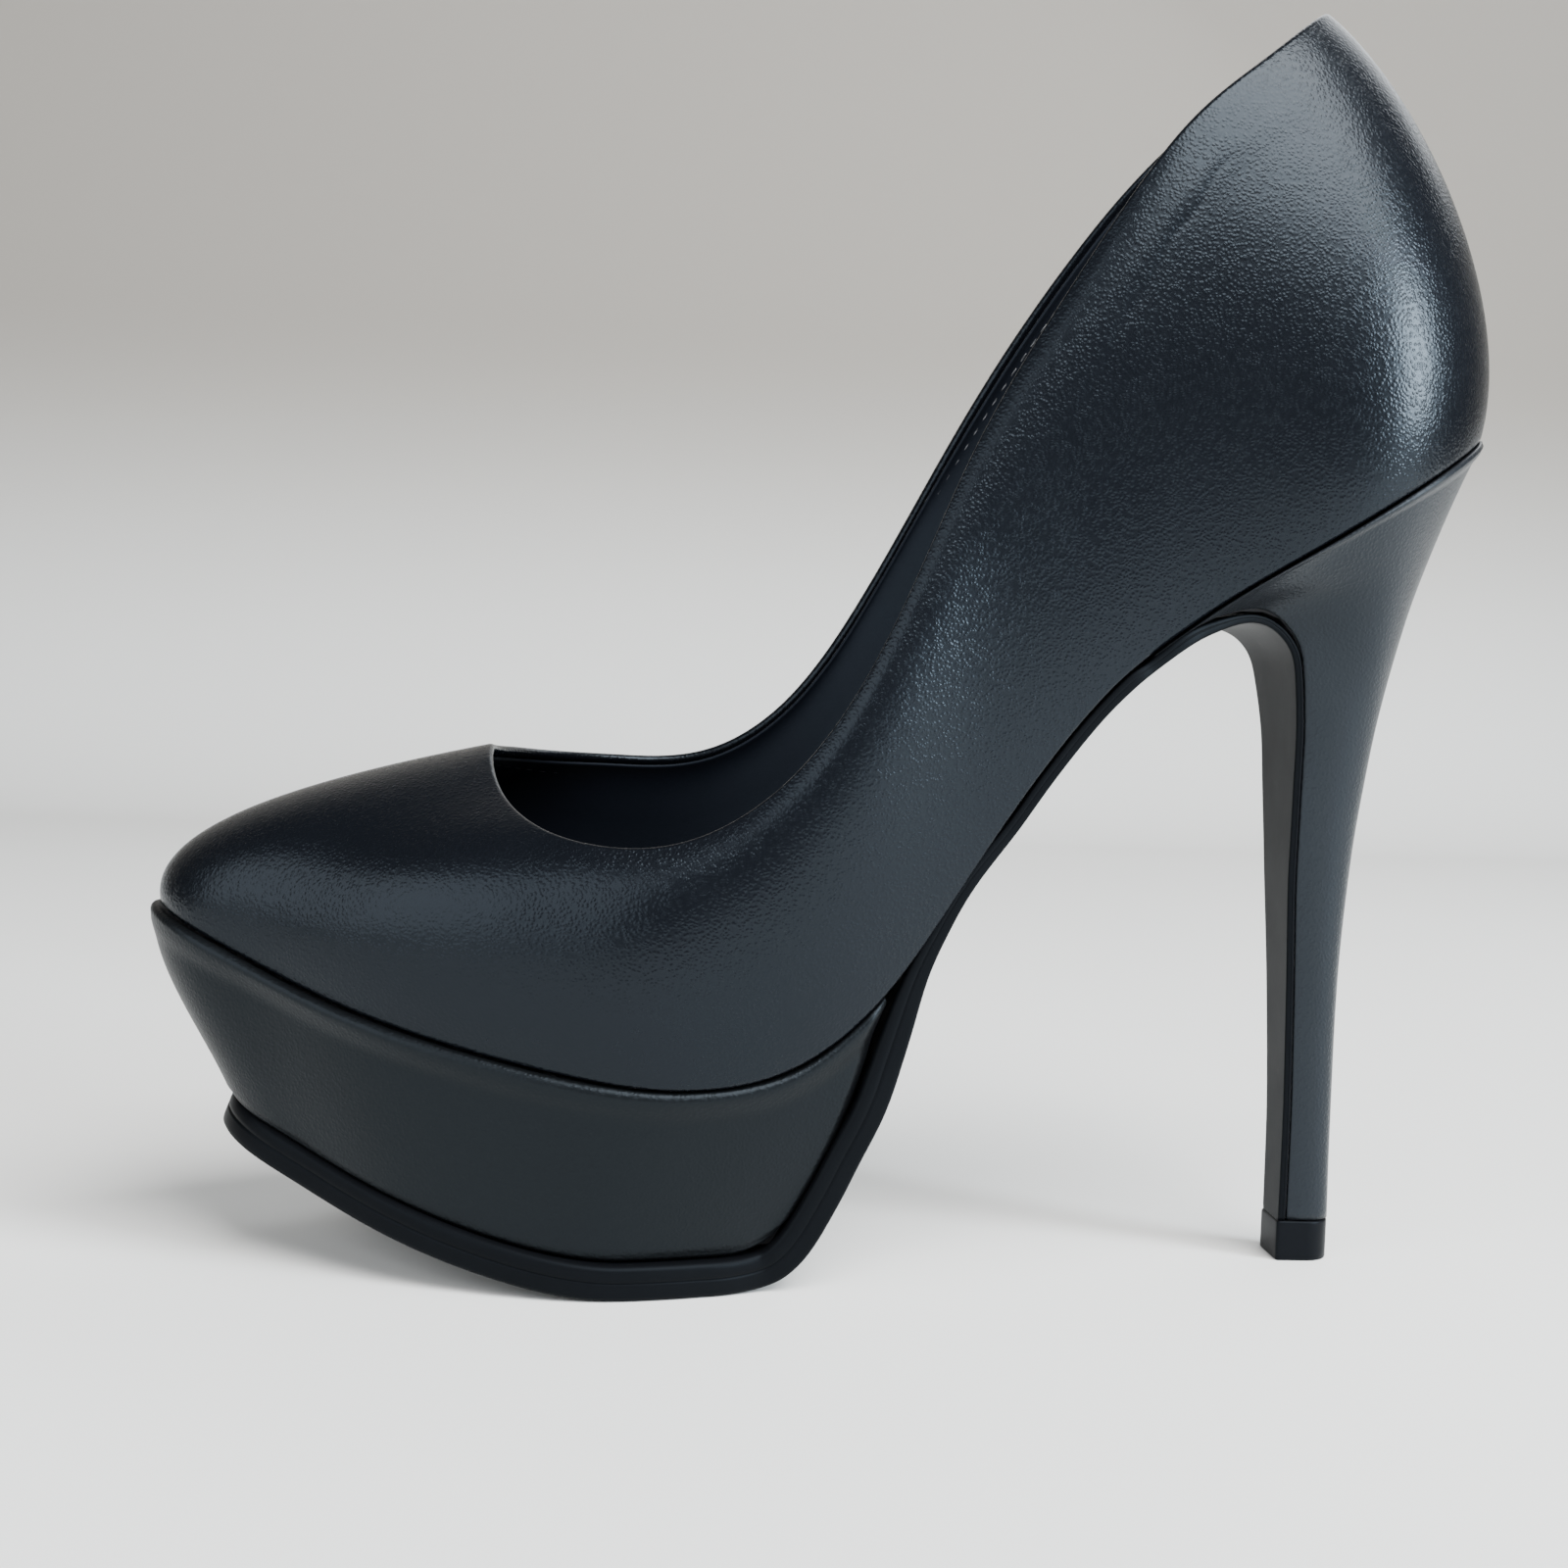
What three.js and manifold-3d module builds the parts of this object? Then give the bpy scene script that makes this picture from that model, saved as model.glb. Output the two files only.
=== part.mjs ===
// High heel platform pump, left shoe. Millimetres, +Z up, +X towards the toe, +Y the wearer's left.
// While it is drawn, x runs from the back of the heel seat. The last lines centre the group on its box.
import * as THREE from "three";
import { mergeVertices } from "three/addons/utils/BufferGeometryUtils.js";
import Module from "manifold-3d";

const wasm = await Module();
wasm.setup();

// ---------- driving dimensions ----------
const LENGTH = 209.5; // feather line, seat back to toe tip, along X
const SEAT_HEIGHT = 135.5; // feather line at the seat back, above the floor
const TREAD_HEIGHT = 32; // feather line at the ball: platform and outsole together
const TOE_RISE = 22; // feather line at the toe tip above the ball
const BALL_WIDTH = 70.6;
const SEAT_WIDTH = 46.4;
const WAIST_WIDTH = 44.5;
const TOPLINE_RISE = 67; // peak of the back above the seat back
const THROAT_RISE = 26.3; // middle of the throat above the toe tip
const SIDE_RISE_LATERAL = 31.6; // lowest point of the outer topline above the feather line
const SIDE_RISE_MEDIAL = 42.6;
const UPPER_THICKNESS = 1.1;
const STIFFENER_THICKNESS = 0.7;
const LINING_THICKNESS = 0.7;
const LAYER_GAP = 0.3; // cement line between neighbouring layers
const LASTING_MARGIN = 7; // upper turned in under the insole
const INSOLE_THICKNESS = 1.3;
const SHANK_BOARD_THICKNESS = 1.1;
const PAD_THICKNESS = 2.2;
const SOCK_THICKNESS = 0.8;
const SHANK_WIDTH = 11;
const SHANK_THICKNESS = 0.7;
const OUTSOLE_THICKNESS = 5.4;
const OUTSOLE_WAIST = 2.1; // outsole thickness under the waist
const BREAST_FLAP = 1.2; // outsole thickness down the heel breast
const OUTSOLE_LEDGE = 1.1; // outsole edge standing out past the platform cover
const OUTSOLE_TOE_SPRING = 19;
const RISER_THICKNESS = 5.2; // outsole up the rear face of the platform
const COVER_THICKNESS = 0.9;
const COVER_BEAD = 1.2; // rolled rim of the cover standing out past the upper
const PLATFORM_FRONT_SET = 12.5; // platform shorter at the bottom than at the top, at the toe
const PLATFORM_REAR_SET = 15; // and at its rear face
const PLATFORM_TAPER = 0.93; // bottom width over top width
const HEEL_TIP_LENGTH = 9.3;
const HEEL_TIP_WIDTH = 8.6;
const HEEL_TIP_BACK = 18.6; // back of the heel tip ahead of the seat back
const BREAST_TOP_WIDTH = 23;
const HEEL_COVER_THICKNESS = 0.7;
const TOP_PIECE_HEIGHT = 6.5;
const TOP_PIECE_OVERHANG = 0.2;
const HEEL_TUBE_RADIUS = 2;
const DOWEL_RADIUS = 1.2;
const SCREW_RADIUS = 1.9;
const SCREW_LENGTH = 19;
const NAIL_RADIUS = 0.8;
const NAIL_LENGTH = 13;
const RIVET_RADIUS = 1.4;

// ---------- small maths ----------
const V = (x, y, z) => new THREE.Vector3(x, y, z);
const mix = (a, b, t) => a + (b - a) * t;
const smooth = (a, b, x) => THREE.MathUtils.smoothstep(x, a, b);
const range = (n) => Array.from({ length: n }, (_, i) => i);

// A smooth curve y(x) through a few points: cubic Hermite with monotone-safe slopes.
function curveThrough(points) {
  const slope = points.map((p, i) => {
    const a = points[Math.max(i - 1, 0)];
    const b = points[Math.min(i + 1, points.length - 1)];
    return (b[1] - a[1]) / (b[0] - a[0]);
  });
  return (x) => {
    let i = points.findIndex((p) => p[0] > x) - 1;
    if (i === -2) i = points.length - 2;
    if (i < 0) i = 0;
    const [x0, y0] = points[i];
    const [x1, y1] = points[i + 1];
    const w = x1 - x0;
    const t = THREE.MathUtils.clamp((x - x0) / w, -0.2, 1.2);
    const t2 = t * t;
    const t3 = t2 * t;
    return (2 * t3 - 3 * t2 + 1) * y0 + (t3 - 2 * t2 + t) * w * slope[i] +
      (3 * t2 - 2 * t3) * y1 + (t3 - t2) * w * slope[i + 1];
  };
}

// ---------- solids ----------
function solidOf(geometry) {
  const g = geometry.clone();
  for (const name of ["normal", "uv"]) g.deleteAttribute(name);
  const merged = mergeVertices(g.index ? g.toNonIndexed() : g, 1e-3);
  return new wasm.Manifold(new wasm.Mesh({
    numProp: 3,
    vertProperties: merged.attributes.position.array,
    triVerts: new Uint32Array(merged.index.array),
  }));
}

function geometryOf(solid) {
  const mesh = solid.getMesh();
  const geometry = new THREE.BufferGeometry();
  geometry.setAttribute("position", new THREE.BufferAttribute(Float32Array.from(mesh.vertProperties), 3));
  geometry.setIndex(new THREE.BufferAttribute(Uint32Array.from(mesh.triVerts), 1));
  geometry.computeVertexNormals();
  return geometry;
}

function cut(geometry, tools) {
  return geometryOf(tools.reduce((s, tool) => s.subtract(solidOf(tool)), solidOf(geometry)));
}

// The closed body between two sheets, outer(u, v) and inner(u, v), on one grid. With loop set, u closes
// on itself. Corners that meet are merged, so two sheets may share an edge.
function between(nu, nv, outer, inner, loop = false) {
  const columns = loop ? nu : nu + 1;
  const column = (f, i) => range(nv + 1).map((j) => f(i / nu, j / nv));
  const sheets = [outer, inner].map((f) => range(columns).map((i) => column(f, i)));
  const triangles = [];
  const key = (p) => [p.x, p.y, p.z].map((c) => Math.round(c * 500)).join();
  const triangle = (a, b, c) => {
    if (new Set([a, b, c].map(key)).size === 3) triangles.push(a, b, c);
  };
  const quad = (a, b, c, d) => {
    triangle(a, b, c);
    triangle(a, c, d);
  };
  const at = (s, i, j) => sheets[s][i % columns][j];
  for (let i = 0; i < nu; i++) {
    for (let j = 0; j < nv; j++) {
      quad(at(0, i, j), at(0, i + 1, j), at(0, i + 1, j + 1), at(0, i, j + 1));
      quad(at(1, i, j), at(1, i, j + 1), at(1, i + 1, j + 1), at(1, i + 1, j));
    }
    quad(at(1, i, 0), at(1, i + 1, 0), at(0, i + 1, 0), at(0, i, 0));
    quad(at(0, i, nv), at(0, i + 1, nv), at(1, i + 1, nv), at(1, i, nv));
  }
  if (!loop) {
    for (let j = 0; j < nv; j++) {
      quad(at(0, 0, j), at(0, 0, j + 1), at(1, 0, j + 1), at(1, 0, j));
      quad(at(1, nu, j), at(1, nu, j + 1), at(0, nu, j + 1), at(0, nu, j));
    }
  }
  const positions = triangles.flatMap((p) => [p.x, p.y, p.z]);
  const geometry = new THREE.BufferGeometry();
  geometry.setAttribute("position", new THREE.Float32BufferAttribute(positions, 3));
  const merged = mergeVertices(geometry, 2e-3);
  if (volume(merged) < 0) merged.index.array.reverse();
  merged.computeVertexNormals();
  return merged;
}

function volume(geometry) {
  const p = geometry.attributes.position;
  const a = V();
  const b = V();
  const c = V();
  let sum = 0;
  for (let i = 0; i < geometry.index.count; i += 3) {
    a.fromBufferAttribute(p, geometry.index.getX(i));
    b.fromBufferAttribute(p, geometry.index.getX(i + 1));
    c.fromBufferAttribute(p, geometry.index.getX(i + 2));
    sum += a.dot(b.cross(c));
  }
  return sum;
}

// ---------- the last: bottom profile and feather line ----------
// Share of the heel lift left at each share of the length, then the toe spring.
const liftShare = curveThrough([
  [0, 1], [0.134, 0.831], [0.239, 0.694], [0.315, 0.56], [0.406, 0.304],
  [0.463, 0.135], [0.525, 0.031], [0.6, 0], [0.72, 0], [1, 0],
]);
const springShare = curveThrough([[0, 0], [0.55, 0], [0.62, 0.01], [0.716, 0.115], [0.86, 0.46], [1, 1]]);
function bottomHeight(x) {
  const s = x / LENGTH;
  return TREAD_HEIGHT + (SEAT_HEIGHT - TREAD_HEIGHT) * liftShare(s) + TOE_RISE * springShare(s);
}
// Point at plan place (x, y), a distance d off the bottom of the last.
function offBottom(x, y, d) {
  const slope = (bottomHeight(x + 0.5) - bottomHeight(x - 0.5));
  const n = Math.hypot(slope, 1);
  return V(x - (d * slope) / n, y, bottomHeight(x) + d / n);
}

// Stations round each side, heel to toe. foot is the feather line in plan and top the topline, both as
// shares of the length and of the half width that half names. rise is the topline's height above the
// feather line, a share of the rise it names. out and up steer the wall where it leaves the feather
// line, and arrive steers it where it reaches the topline, in millimetres.
const HALF = { seat: SEAT_WIDTH / 2, waist: WAIST_WIDTH / 2, ball: BALL_WIDTH / 2 };
const station = (half, foot, top, rise, out, up, arrive) => ({ half, foot, top, rise, out, up, arrive });
const BACK = station("seat", [0, 0], [0.134, 0], [1, "back"], 5, 22, [-16, 0, -12]);
const TOE = station("ball", [1, 0], [0.757, 0], [1, "throat"], 3, 12.5, [25.5, 0, -5.8]);
const LATERAL = [
  station("seat", [0.033, 0.63], [0.155, 0.4], [1.005, "back"], 4.9, 21, [-13, 5, -12]),
  station("seat", [0.105, 1.01], [0.205, 0.72], [1.009, "back"], 4.6, 20, [-12, 6, -17]),
  station("seat", [0.2, 1.0], [0.267, 0.91], [1.012, "back"], 3.6, 19, [-7, 5, -19]),
  station("waist", [0.296, 1.04], [0.344, 1.035], [0.884, "back"], 2.8, 17, [-3, 4, -17]),
  station("waist", [0.391, 1.1], [0.415, 1.17], [0.875, "back"], 3, 15, [-1, 3, -14]),
  station("ball", [0.482, 0.8], [0.477, 0.878], [1.75, "side"], 3.4, 13, [0, 2.5, -11]),
  station("ball", [0.563, 0.92], [0.539, 0.94], [1.42, "side"], 4, 12, [1, 2.5, -10]),
  station("ball", [0.649, 0.972], [0.611, 0.963], [1.127, "side"], 4.4, 12, [2, 3.5, -10]),
  station("ball", [0.74, 0.895], [0.678, 0.892], [1, "side"], 4.4, 12, [6, 5, -8]),
  station("ball", [0.835, 0.722], [0.721, 0.708], [1.12, "throat"], 4, 12, [13, 7, -6]),
  station("ball", [0.921, 0.476], [0.746, 0.425], [1.04, "throat"], 3, 12.5, [19, 7, -6]),
  station("ball", [0.976, 0.3], [0.755, 0.198], [1.005, "throat"], 2.4, 12.5, [23, 4, -5.5]),
];
const MEDIAL = [
  station("seat", [0.033, 0.62], [0.155, 0.41], [1.005, "back"], 4.9, 21, [-13, 5, -12]),
  station("seat", [0.105, 0.985], [0.205, 0.73], [1.015, "back"], 4.6, 20, [-12, 6, -17]),
  station("seat", [0.2, 0.95], [0.267, 0.92], [0.998, "back"], 3.6, 19, [-7, 5, -19]),
  station("waist", [0.296, 0.93], [0.34, 1.04], [0.905, "back"], 2.8, 17, [-3, 4, -17]),
  station("waist", [0.391, 0.97], [0.405, 1.17], [0.933, "back"], 3, 15, [-1, 3, -14]),
  station("ball", [0.482, 0.75], [0.468, 0.878], [1.48, "side"], 3.4, 13, [0, 2.5, -12]),
  station("ball", [0.563, 0.905], [0.525, 0.935], [1.293, "side"], 4, 12, [1, 2.5, -12]),
  station("ball", [0.654, 1.028], [0.592, 0.974], [1.094, "side"], 4.4, 12, [2, 4, -11]),
  station("ball", [0.745, 0.985], [0.663, 0.915], [0.995, "side"], 4.4, 12, [6, 6, -9]),
  station("ball", [0.835, 0.8], [0.716, 0.708], [0.9, "side"], 4, 12, [13, 8, -6.5]),
  station("ball", [0.921, 0.52], [0.744, 0.425], [1.24, "throat"], 3, 12.5, [19, 7, -5.5]),
  station("ball", [0.976, 0.325], [0.755, 0.198], [1.07, "throat"], 2.4, 12.5, [23, 4, -5.2]),
];

// One station as space points: feather line, topline and the two steering vectors.
function placed(s, side) {
  const sideRise = side > 0 ? SIDE_RISE_LATERAL : SIDE_RISE_MEDIAL;
  const rises = { back: TOPLINE_RISE, side: sideRise, throat: THROAT_RISE };
  const half = HALF[s.half];
  const foot = offBottom(s.foot[0] * LENGTH, side * s.foot[1] * half, 0);
  const top = V(s.top[0] * LENGTH, side * s.top[1] * half, foot.z + s.rise[0] * rises[s.rise[1]]);
  return { foot, top, out: s.out, up: s.up, arrive: V(s.arrive[0], side * s.arrive[1], s.arrive[2]) };
}
const around = [
  placed(BACK, 1),
  ...LATERAL.map((s) => placed(s, 1)),
  placed(TOE, 1),
  ...MEDIAL.map((s) => placed(s, -1)).reverse(),
];
const TOE_U = (LATERAL.length + 1) / around.length;
const closed = (points) => new THREE.CatmullRomCurve3(points, true, "centripetal");
const featherLoop = closed(around.map((s) => s.foot));
// Plan direction away from the shoe at each station: the loop runs clockwise seen from above.
const outward = around.map((s, i) => {
  const t = featherLoop.getTangent(i / around.length);
  return V(-t.y, t.x, 0).normalize();
});
const loops = [
  featherLoop,
  closed(around.map((s, i) => s.foot.clone().addScaledVector(outward[i], s.out).add(V(0, 0, s.up)))),
  closed(around.map((s) => s.top.clone().add(s.arrive))),
  closed(around.map((s) => s.top)),
];
const wrap = (u) => ((u % 1) + 1) % 1;

// Outer surface of the upper: u once round, v from feather line to topline.
function skin(u, v) {
  const w = 1 - v;
  const weights = [w * w * w, 3 * w * w * v, 3 * w * v * v, v * v * v];
  return loops.reduce((p, loop, i) => p.addScaledVector(loop.getPoint(wrap(u)), weights[i]), V(0, 0, 0));
}
// A layer of the wall, depth millimetres inside the outer surface.
function wall(u, v, depth) {
  const e = 1e-3;
  const along = skin(u + e, v).sub(skin(u - e, v));
  const up = skin(u, Math.min(v + e, 1)).sub(skin(u, Math.max(v - e, 0)));
  return skin(u, v).addScaledVector(along.cross(up).normalize(), depth);
}

// Plan place a distance in from the feather line, towards the middle of the sole.
const SPINE = [0.14 * LENGTH, 0.87 * LENGTH];
function inset(u, distance) {
  const p = featherLoop.getPoint(wrap(u));
  const away = V(THREE.MathUtils.clamp(p.x, ...SPINE) - p.x, -p.y, 0);
  return p.addScaledVector(away.normalize(), distance);
}
// Half width at x of the feather line moved in by a distance, on one side.
function halfWidth(side, x, distance) {
  let near = side > 0 ? 0 : 1;
  let far = TOE_U;
  for (let i = 0; i < 30; i++) {
    const middle = (near + far) / 2;
    if (inset(middle, distance).x < x) near = middle;
    else far = middle;
  }
  return Math.abs(inset((near + far) / 2, distance).y);
}
// Place round the loop where the feather line reaches x, on one side.
function uAt(side, x) {
  let near = side > 0 ? 0 : 1;
  let far = TOE_U;
  for (let i = 0; i < 30; i++) {
    const middle = (near + far) / 2;
    if (featherLoop.getPoint(middle).x < x) near = middle;
    else far = middle;
  }
  return near;
}

// ---------- layers of the wall and of the bottom ----------
const STIFFENER_DEPTH = UPPER_THICKNESS + LAYER_GAP;
const LINING_DEPTH = STIFFENER_DEPTH + STIFFENER_THICKNESS + LAYER_GAP;
const WALL_DEPTH = LINING_DEPTH + LINING_THICKNESS;
const INSOLE_BOTTOM = UPPER_THICKNESS + LAYER_GAP + 0.15;
const BOARD_BOTTOM = INSOLE_BOTTOM + INSOLE_THICKNESS + LAYER_GAP;
const PAD_BOTTOM = BOARD_BOTTOM + SHANK_BOARD_THICKNESS + LAYER_GAP;
const PLATE_INSET = WALL_DEPTH + 0.9;
const SOCK_INSET = PLATE_INSET + 0.7;
const TOPLINE_SKIVE = 0.35; // share of the wall's thickness lost at the topline
const WALL_FOOT = 0.06; // v where the inner layers of the wall start
const skived = (v, depth) => depth * (1 - TOPLINE_SKIVE * smooth(0.8, 1, v));
const eased = (a, b, t) => mix(a, b, (1 - Math.cos(Math.PI * t)) / 2);
const SIDES = [1, -1];
const ROUND = 54; // columns round the shoe
const pick = (list, t) => list[Math.round(t * (list.length - 1))];
const WALL_ROWS = [0, WALL_FOOT, 0.14, 0.25, 0.37, 0.49, 0.61, 0.73, 0.85, 0.93, 1];

// Part of the wall from u0 to u1 and between two v limits given at each place.
function wallBand([u0, u1], low, high, depth, thickness, nu, nv) {
  const sheet = (d) => (s, t) => {
    const v = mix(low(s), high(s), t);
    return wall(mix(u0, u1, s), v, skived(v, d));
  };
  return between(nu, nv, sheet(depth), sheet(depth + thickness), u1 - u0 >= 1);
}

// Stations along the bottom that every plate shares, close together at the two ends.
const GRID = range(37).map((i) => eased(0, LENGTH, i / 36));
const stations = (x0, x1) => [x0, ...GRID.filter((x) => x > x0 + 0.8 && x < x1 - 0.8), x1];

// A plate lying on the bottom of the last from x0 to x1, between two heights given at each x.
function plate(x0, x1, distance, bottom, top) {
  const xs = stations(x0, x1);
  const last = xs.length - 1;
  const sheet = (height) => (s, t) => {
    const x = xs[Math.round(s * last)];
    return offBottom(x, mix(-halfWidth(-1, x, distance), halfWidth(1, x, distance), t), height(x));
  };
  return between(last, 2, sheet(top), sheet(bottom));
}

// A straight strip along the bottom of the last, square at its ends.
function strip(x0, x1, half, bottom, top) {
  const xs = stations(x0, x1);
  const last = xs.length - 1;
  const sheet = (height) => (s, t) => offBottom(xs[Math.round(s * last)], mix(-half, half, t), height);
  return between(last, 2, sheet(top), sheet(bottom));
}

function rodBetween(from, to, radius, sides = 16) {
  const axis = to.clone().sub(from);
  const geometry = new THREE.CylinderGeometry(radius, radius, axis.length(), sides);
  geometry.applyQuaternion(new THREE.Quaternion().setFromUnitVectors(V(0, 1, 0), axis.clone().normalize()));
  const middle = from.clone().add(to).multiplyScalar(0.5);
  return geometry.translate(middle.x, middle.y, middle.z);
}
// A rod standing square to the bottom of the last at (x, y), from height a to height b.
function rod(x, y, a, b, radius) {
  const foot = offBottom(x, y, 0);
  const normal = offBottom(x, y, 1).sub(foot);
  return rodBetween(foot.clone().addScaledVector(normal, a), foot.clone().addScaledVector(normal, b), radius);
}

// ---------- fasteners through the seat and the shank ----------
const HEAD_TOP = PAD_BOTTOM - 0.1;
const FASTENER_CLEARANCE = 0.3;
const SHANK_LIFT = 0.35; // underside of the shank above the bottom of the last
const seatFastener = (x, y, radius, head, headHeight, length) => ({ x, y, radius, head, headHeight, length });
const heelScrew = seatFastener(0.115 * LENGTH, 0, SCREW_RADIUS, 3.8, 1.2, SCREW_LENGTH);
const NAIL_LENGTHWAYS = [0.085, 0.165]; // shares of the length
const NAIL_PLACES = SIDES.flatMap((side) => NAIL_LENGTHWAYS.map((share) => [share * LENGTH, side * SHANK_WIDTH * 0.8]));
const heelNails = NAIL_PLACES.map(([x, y]) => seatFastener(x, y, NAIL_RADIUS, 1.7, 0.7, NAIL_LENGTH));
const RIVET_LENGTHWAYS = [0.27, 0.44]; // shares of the length
const rivetLength = HEAD_TOP - SHANK_LIFT;
const shankRivets = RIVET_LENGTHWAYS.map((share) => seatFastener(share * LENGTH, 0, RIVET_RADIUS, 2.6, 0.6, rivetLength));
function fastenerBody(f, clearance = 0) {
  const seat = HEAD_TOP - f.headHeight;
  const shank = rod(f.x, f.y, HEAD_TOP - f.length - clearance, seat + 0.2, f.radius + clearance);
  const head = rod(f.x, f.y, seat - clearance, HEAD_TOP + clearance, f.head + clearance);
  return geometryOf(solidOf(shank).add(solidOf(head)));
}
const fastenerHoles = [heelScrew, ...heelNails, ...shankRivets].map((f) => fastenerBody(f, FASTENER_CLEARANCE));

// ---------- upper, stiffeners and lining ----------
function upper() {
  const turnedRows = 2;
  const rows = WALL_ROWS.length - 1 + turnedRows;
  const turnedIn = (u, distance, height) => {
    const p = inset(u, distance);
    return offBottom(p.x, p.y, height);
  };
  const outer = (u, t) => {
    const j = Math.round(t * rows);
    if (j < turnedRows) return turnedIn(u, LASTING_MARGIN * (1 - j / turnedRows), 0);
    return wall(u, WALL_ROWS[j - turnedRows], 0);
  };
  const inner = (u, t) => {
    const j = Math.round(t * rows);
    if (j <= turnedRows) return turnedIn(u, mix(LASTING_MARGIN, 1.6, j / turnedRows), UPPER_THICKNESS);
    const v = WALL_ROWS[j - turnedRows];
    return wall(u, v, skived(v, UPPER_THICKNESS));
  };
  return between(ROUND, rows, outer, inner, true);
}
function lining() {
  const rows = WALL_ROWS.slice(1);
  const sheet = (depth) => (u, t) => wall(u, pick(rows, t), skived(pick(rows, t), depth));
  return between(ROUND, rows.length - 1, sheet(LINING_DEPTH), sheet(LINING_DEPTH + LINING_THICKNESS), true);
}
function toplineTape() {
  const [low, high] = [0.91, 0.975];
  return wallBand([0, 1], () => low, () => high, STIFFENER_DEPTH, STIFFENER_THICKNESS, ROUND, 1);
}
// A stiffener centred on u, on the same columns as the upper and the lining.
function stiffenerBand(middle, columns, high, rows) {
  const reach = columns / 2 / ROUND;
  const ends = [middle - reach, middle + reach];
  return wallBand(ends, () => WALL_FOOT, high, STIFFENER_DEPTH, STIFFENER_THICKNESS, columns, rows);
}
function toePuff() {
  const columns = 14;
  const high = (s) => 0.56 - 0.3 * (2 * s - 1) ** 2;
  return stiffenerBand(TOE_U, columns, high, 7);
}
function heelCounter() {
  const columns = 20;
  const high = (s) => 0.84 - 0.42 * Math.abs(2 * s - 1) ** 3;
  return stiffenerBand(0, columns, high, 8);
}

// ---------- insole, shank and sock ----------
const END = 0.4; // plates stop this far short of their own outline's ends
const BOARD_FRONT = GRID.find((x) => x > 0.52 * LENGTH);
const FOREPART_PAD_START = BOARD_FRONT + 1.5;
const HEEL_PAD_END = 0.27 * LENGTH;
// Share of the cushions' full thickness at x: both thin out towards the waist.
const forefootShare = (x) => smooth(0.47 * LENGTH, 0.58 * LENGTH, x);
const heelShare = (x) => 1 - smooth(0.17 * LENGTH, 0.26 * LENGTH, x);
const padLift = (x) => Math.max(forefootShare(x), heelShare(x));
const padTop = (x) => PAD_BOTTOM + PAD_THICKNESS * mix(0.3, 1, padLift(x));
const sockBottom = (x) => padTop(x) + LAYER_GAP;
const plateEnds = (distance) => [distance + END, LENGTH - distance - END];
const flat = (height) => () => height;
function insoleBoard() {
  const [back, front] = plateEnds(PLATE_INSET);
  const body = plate(back, front, PLATE_INSET, flat(INSOLE_BOTTOM), flat(INSOLE_BOTTOM + INSOLE_THICKNESS));
  return cut(body, fastenerHoles);
}
function shankBoard() {
  const [back] = plateEnds(PLATE_INSET);
  const top = BOARD_BOTTOM + SHANK_BOARD_THICKNESS;
  return cut(plate(back, BOARD_FRONT, PLATE_INSET, flat(BOARD_BOTTOM), flat(top)), fastenerHoles);
}
function shank() {
  const [back, front] = [0.075 * LENGTH, 0.55 * LENGTH];
  const body = strip(back, front, SHANK_WIDTH / 2, SHANK_LIFT, SHANK_LIFT + SHANK_THICKNESS);
  return cut(body, fastenerHoles);
}
function forefootPad() {
  const [, front] = plateEnds(SOCK_INSET);
  return plate(FOREPART_PAD_START, front - 6, SOCK_INSET, flat(BOARD_BOTTOM), padTop);
}
function heelPad() {
  const [back] = plateEnds(SOCK_INSET);
  return plate(back + 3, HEEL_PAD_END, SOCK_INSET, flat(PAD_BOTTOM + 0.1), padTop);
}
function sockLining() {
  const [back, front] = plateEnds(SOCK_INSET);
  return plate(back, front, SOCK_INSET, sockBottom, (x) => sockBottom(x) + SOCK_THICKNESS);
}
function bottomFiller() {
  const distance = LASTING_MARGIN + 0.6;
  return plate(0.57 * LENGTH, LENGTH - distance - 1, distance, flat(0.1), flat(UPPER_THICKNESS - 0.1));
}

// ---------- platform ----------
const REAR_TOP = 97.6; // rear face of the platform where it meets the upper
const FRONT_TOP = LENGTH + COVER_BEAD;
const REAR_BOTTOM = REAR_TOP + PLATFORM_REAR_SET;
const FRONT_BOTTOM = FRONT_TOP - PLATFORM_FRONT_SET;
const WAIST_START = REAR_TOP - 4.5; // where the outsole leaves the platform for the waist
const SPRING_START = 136; // where the tread starts to rise towards the toe
const FRONT_BOW = 2; // how far the toe of the cover bows out ahead of its chord
const REAR_BOW = 2.2; // how far the rear face bows out behind its chord
function treadHeight(x) {
  const t = Math.max(0, (x - SPRING_START) / (FRONT_BOTTOM - SPRING_START));
  return OUTSOLE_TOE_SPRING * t ** 1.6;
}
// Station s runs along the platform, rear to toe, and w up its side. The point is moved in by distance.
function platformPoint(side, s, w, distance, trim) {
  const width = halfWidth(side, mix(REAR_TOP, LENGTH, s), 0) * mix(PLATFORM_TAPER, 1, w);
  const top = mix(REAR_TOP, FRONT_TOP, s);
  const bottom = mix(REAR_BOTTOM, FRONT_BOTTOM, s);
  const x = mix(bottom, top, w);
  const inward = V(Math.min(0, SPINE[1] - x), -side * width, 0).normalize().multiplyScalar(distance);
  const low = treadHeight(bottom + inward.x) + OUTSOLE_THICKNESS + LAYER_GAP + trim;
  const high = bottomHeight(top + inward.x) - LAYER_GAP - trim;
  const frontBow = FRONT_BOW * 6.75 * w * w * (1 - w) * smooth(0.8, 1, s);
  const rearBow = REAR_BOW * 4 * w * (1 - w) * (1 - smooth(0, 0.3, s));
  const bow = frontBow - rearBow;
  return V(x + inward.x + bow, side * width + inward.y, mix(low, high, w));
}
function platformCore() {
  const skinned = COVER_THICKNESS + LAYER_GAP;
  const sheet = (side) => (a, w) => platformPoint(side, eased(0.004, 1, a), w, skinned, skinned);
  return between(26, 5, sheet(1), sheet(-1));
}
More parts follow.
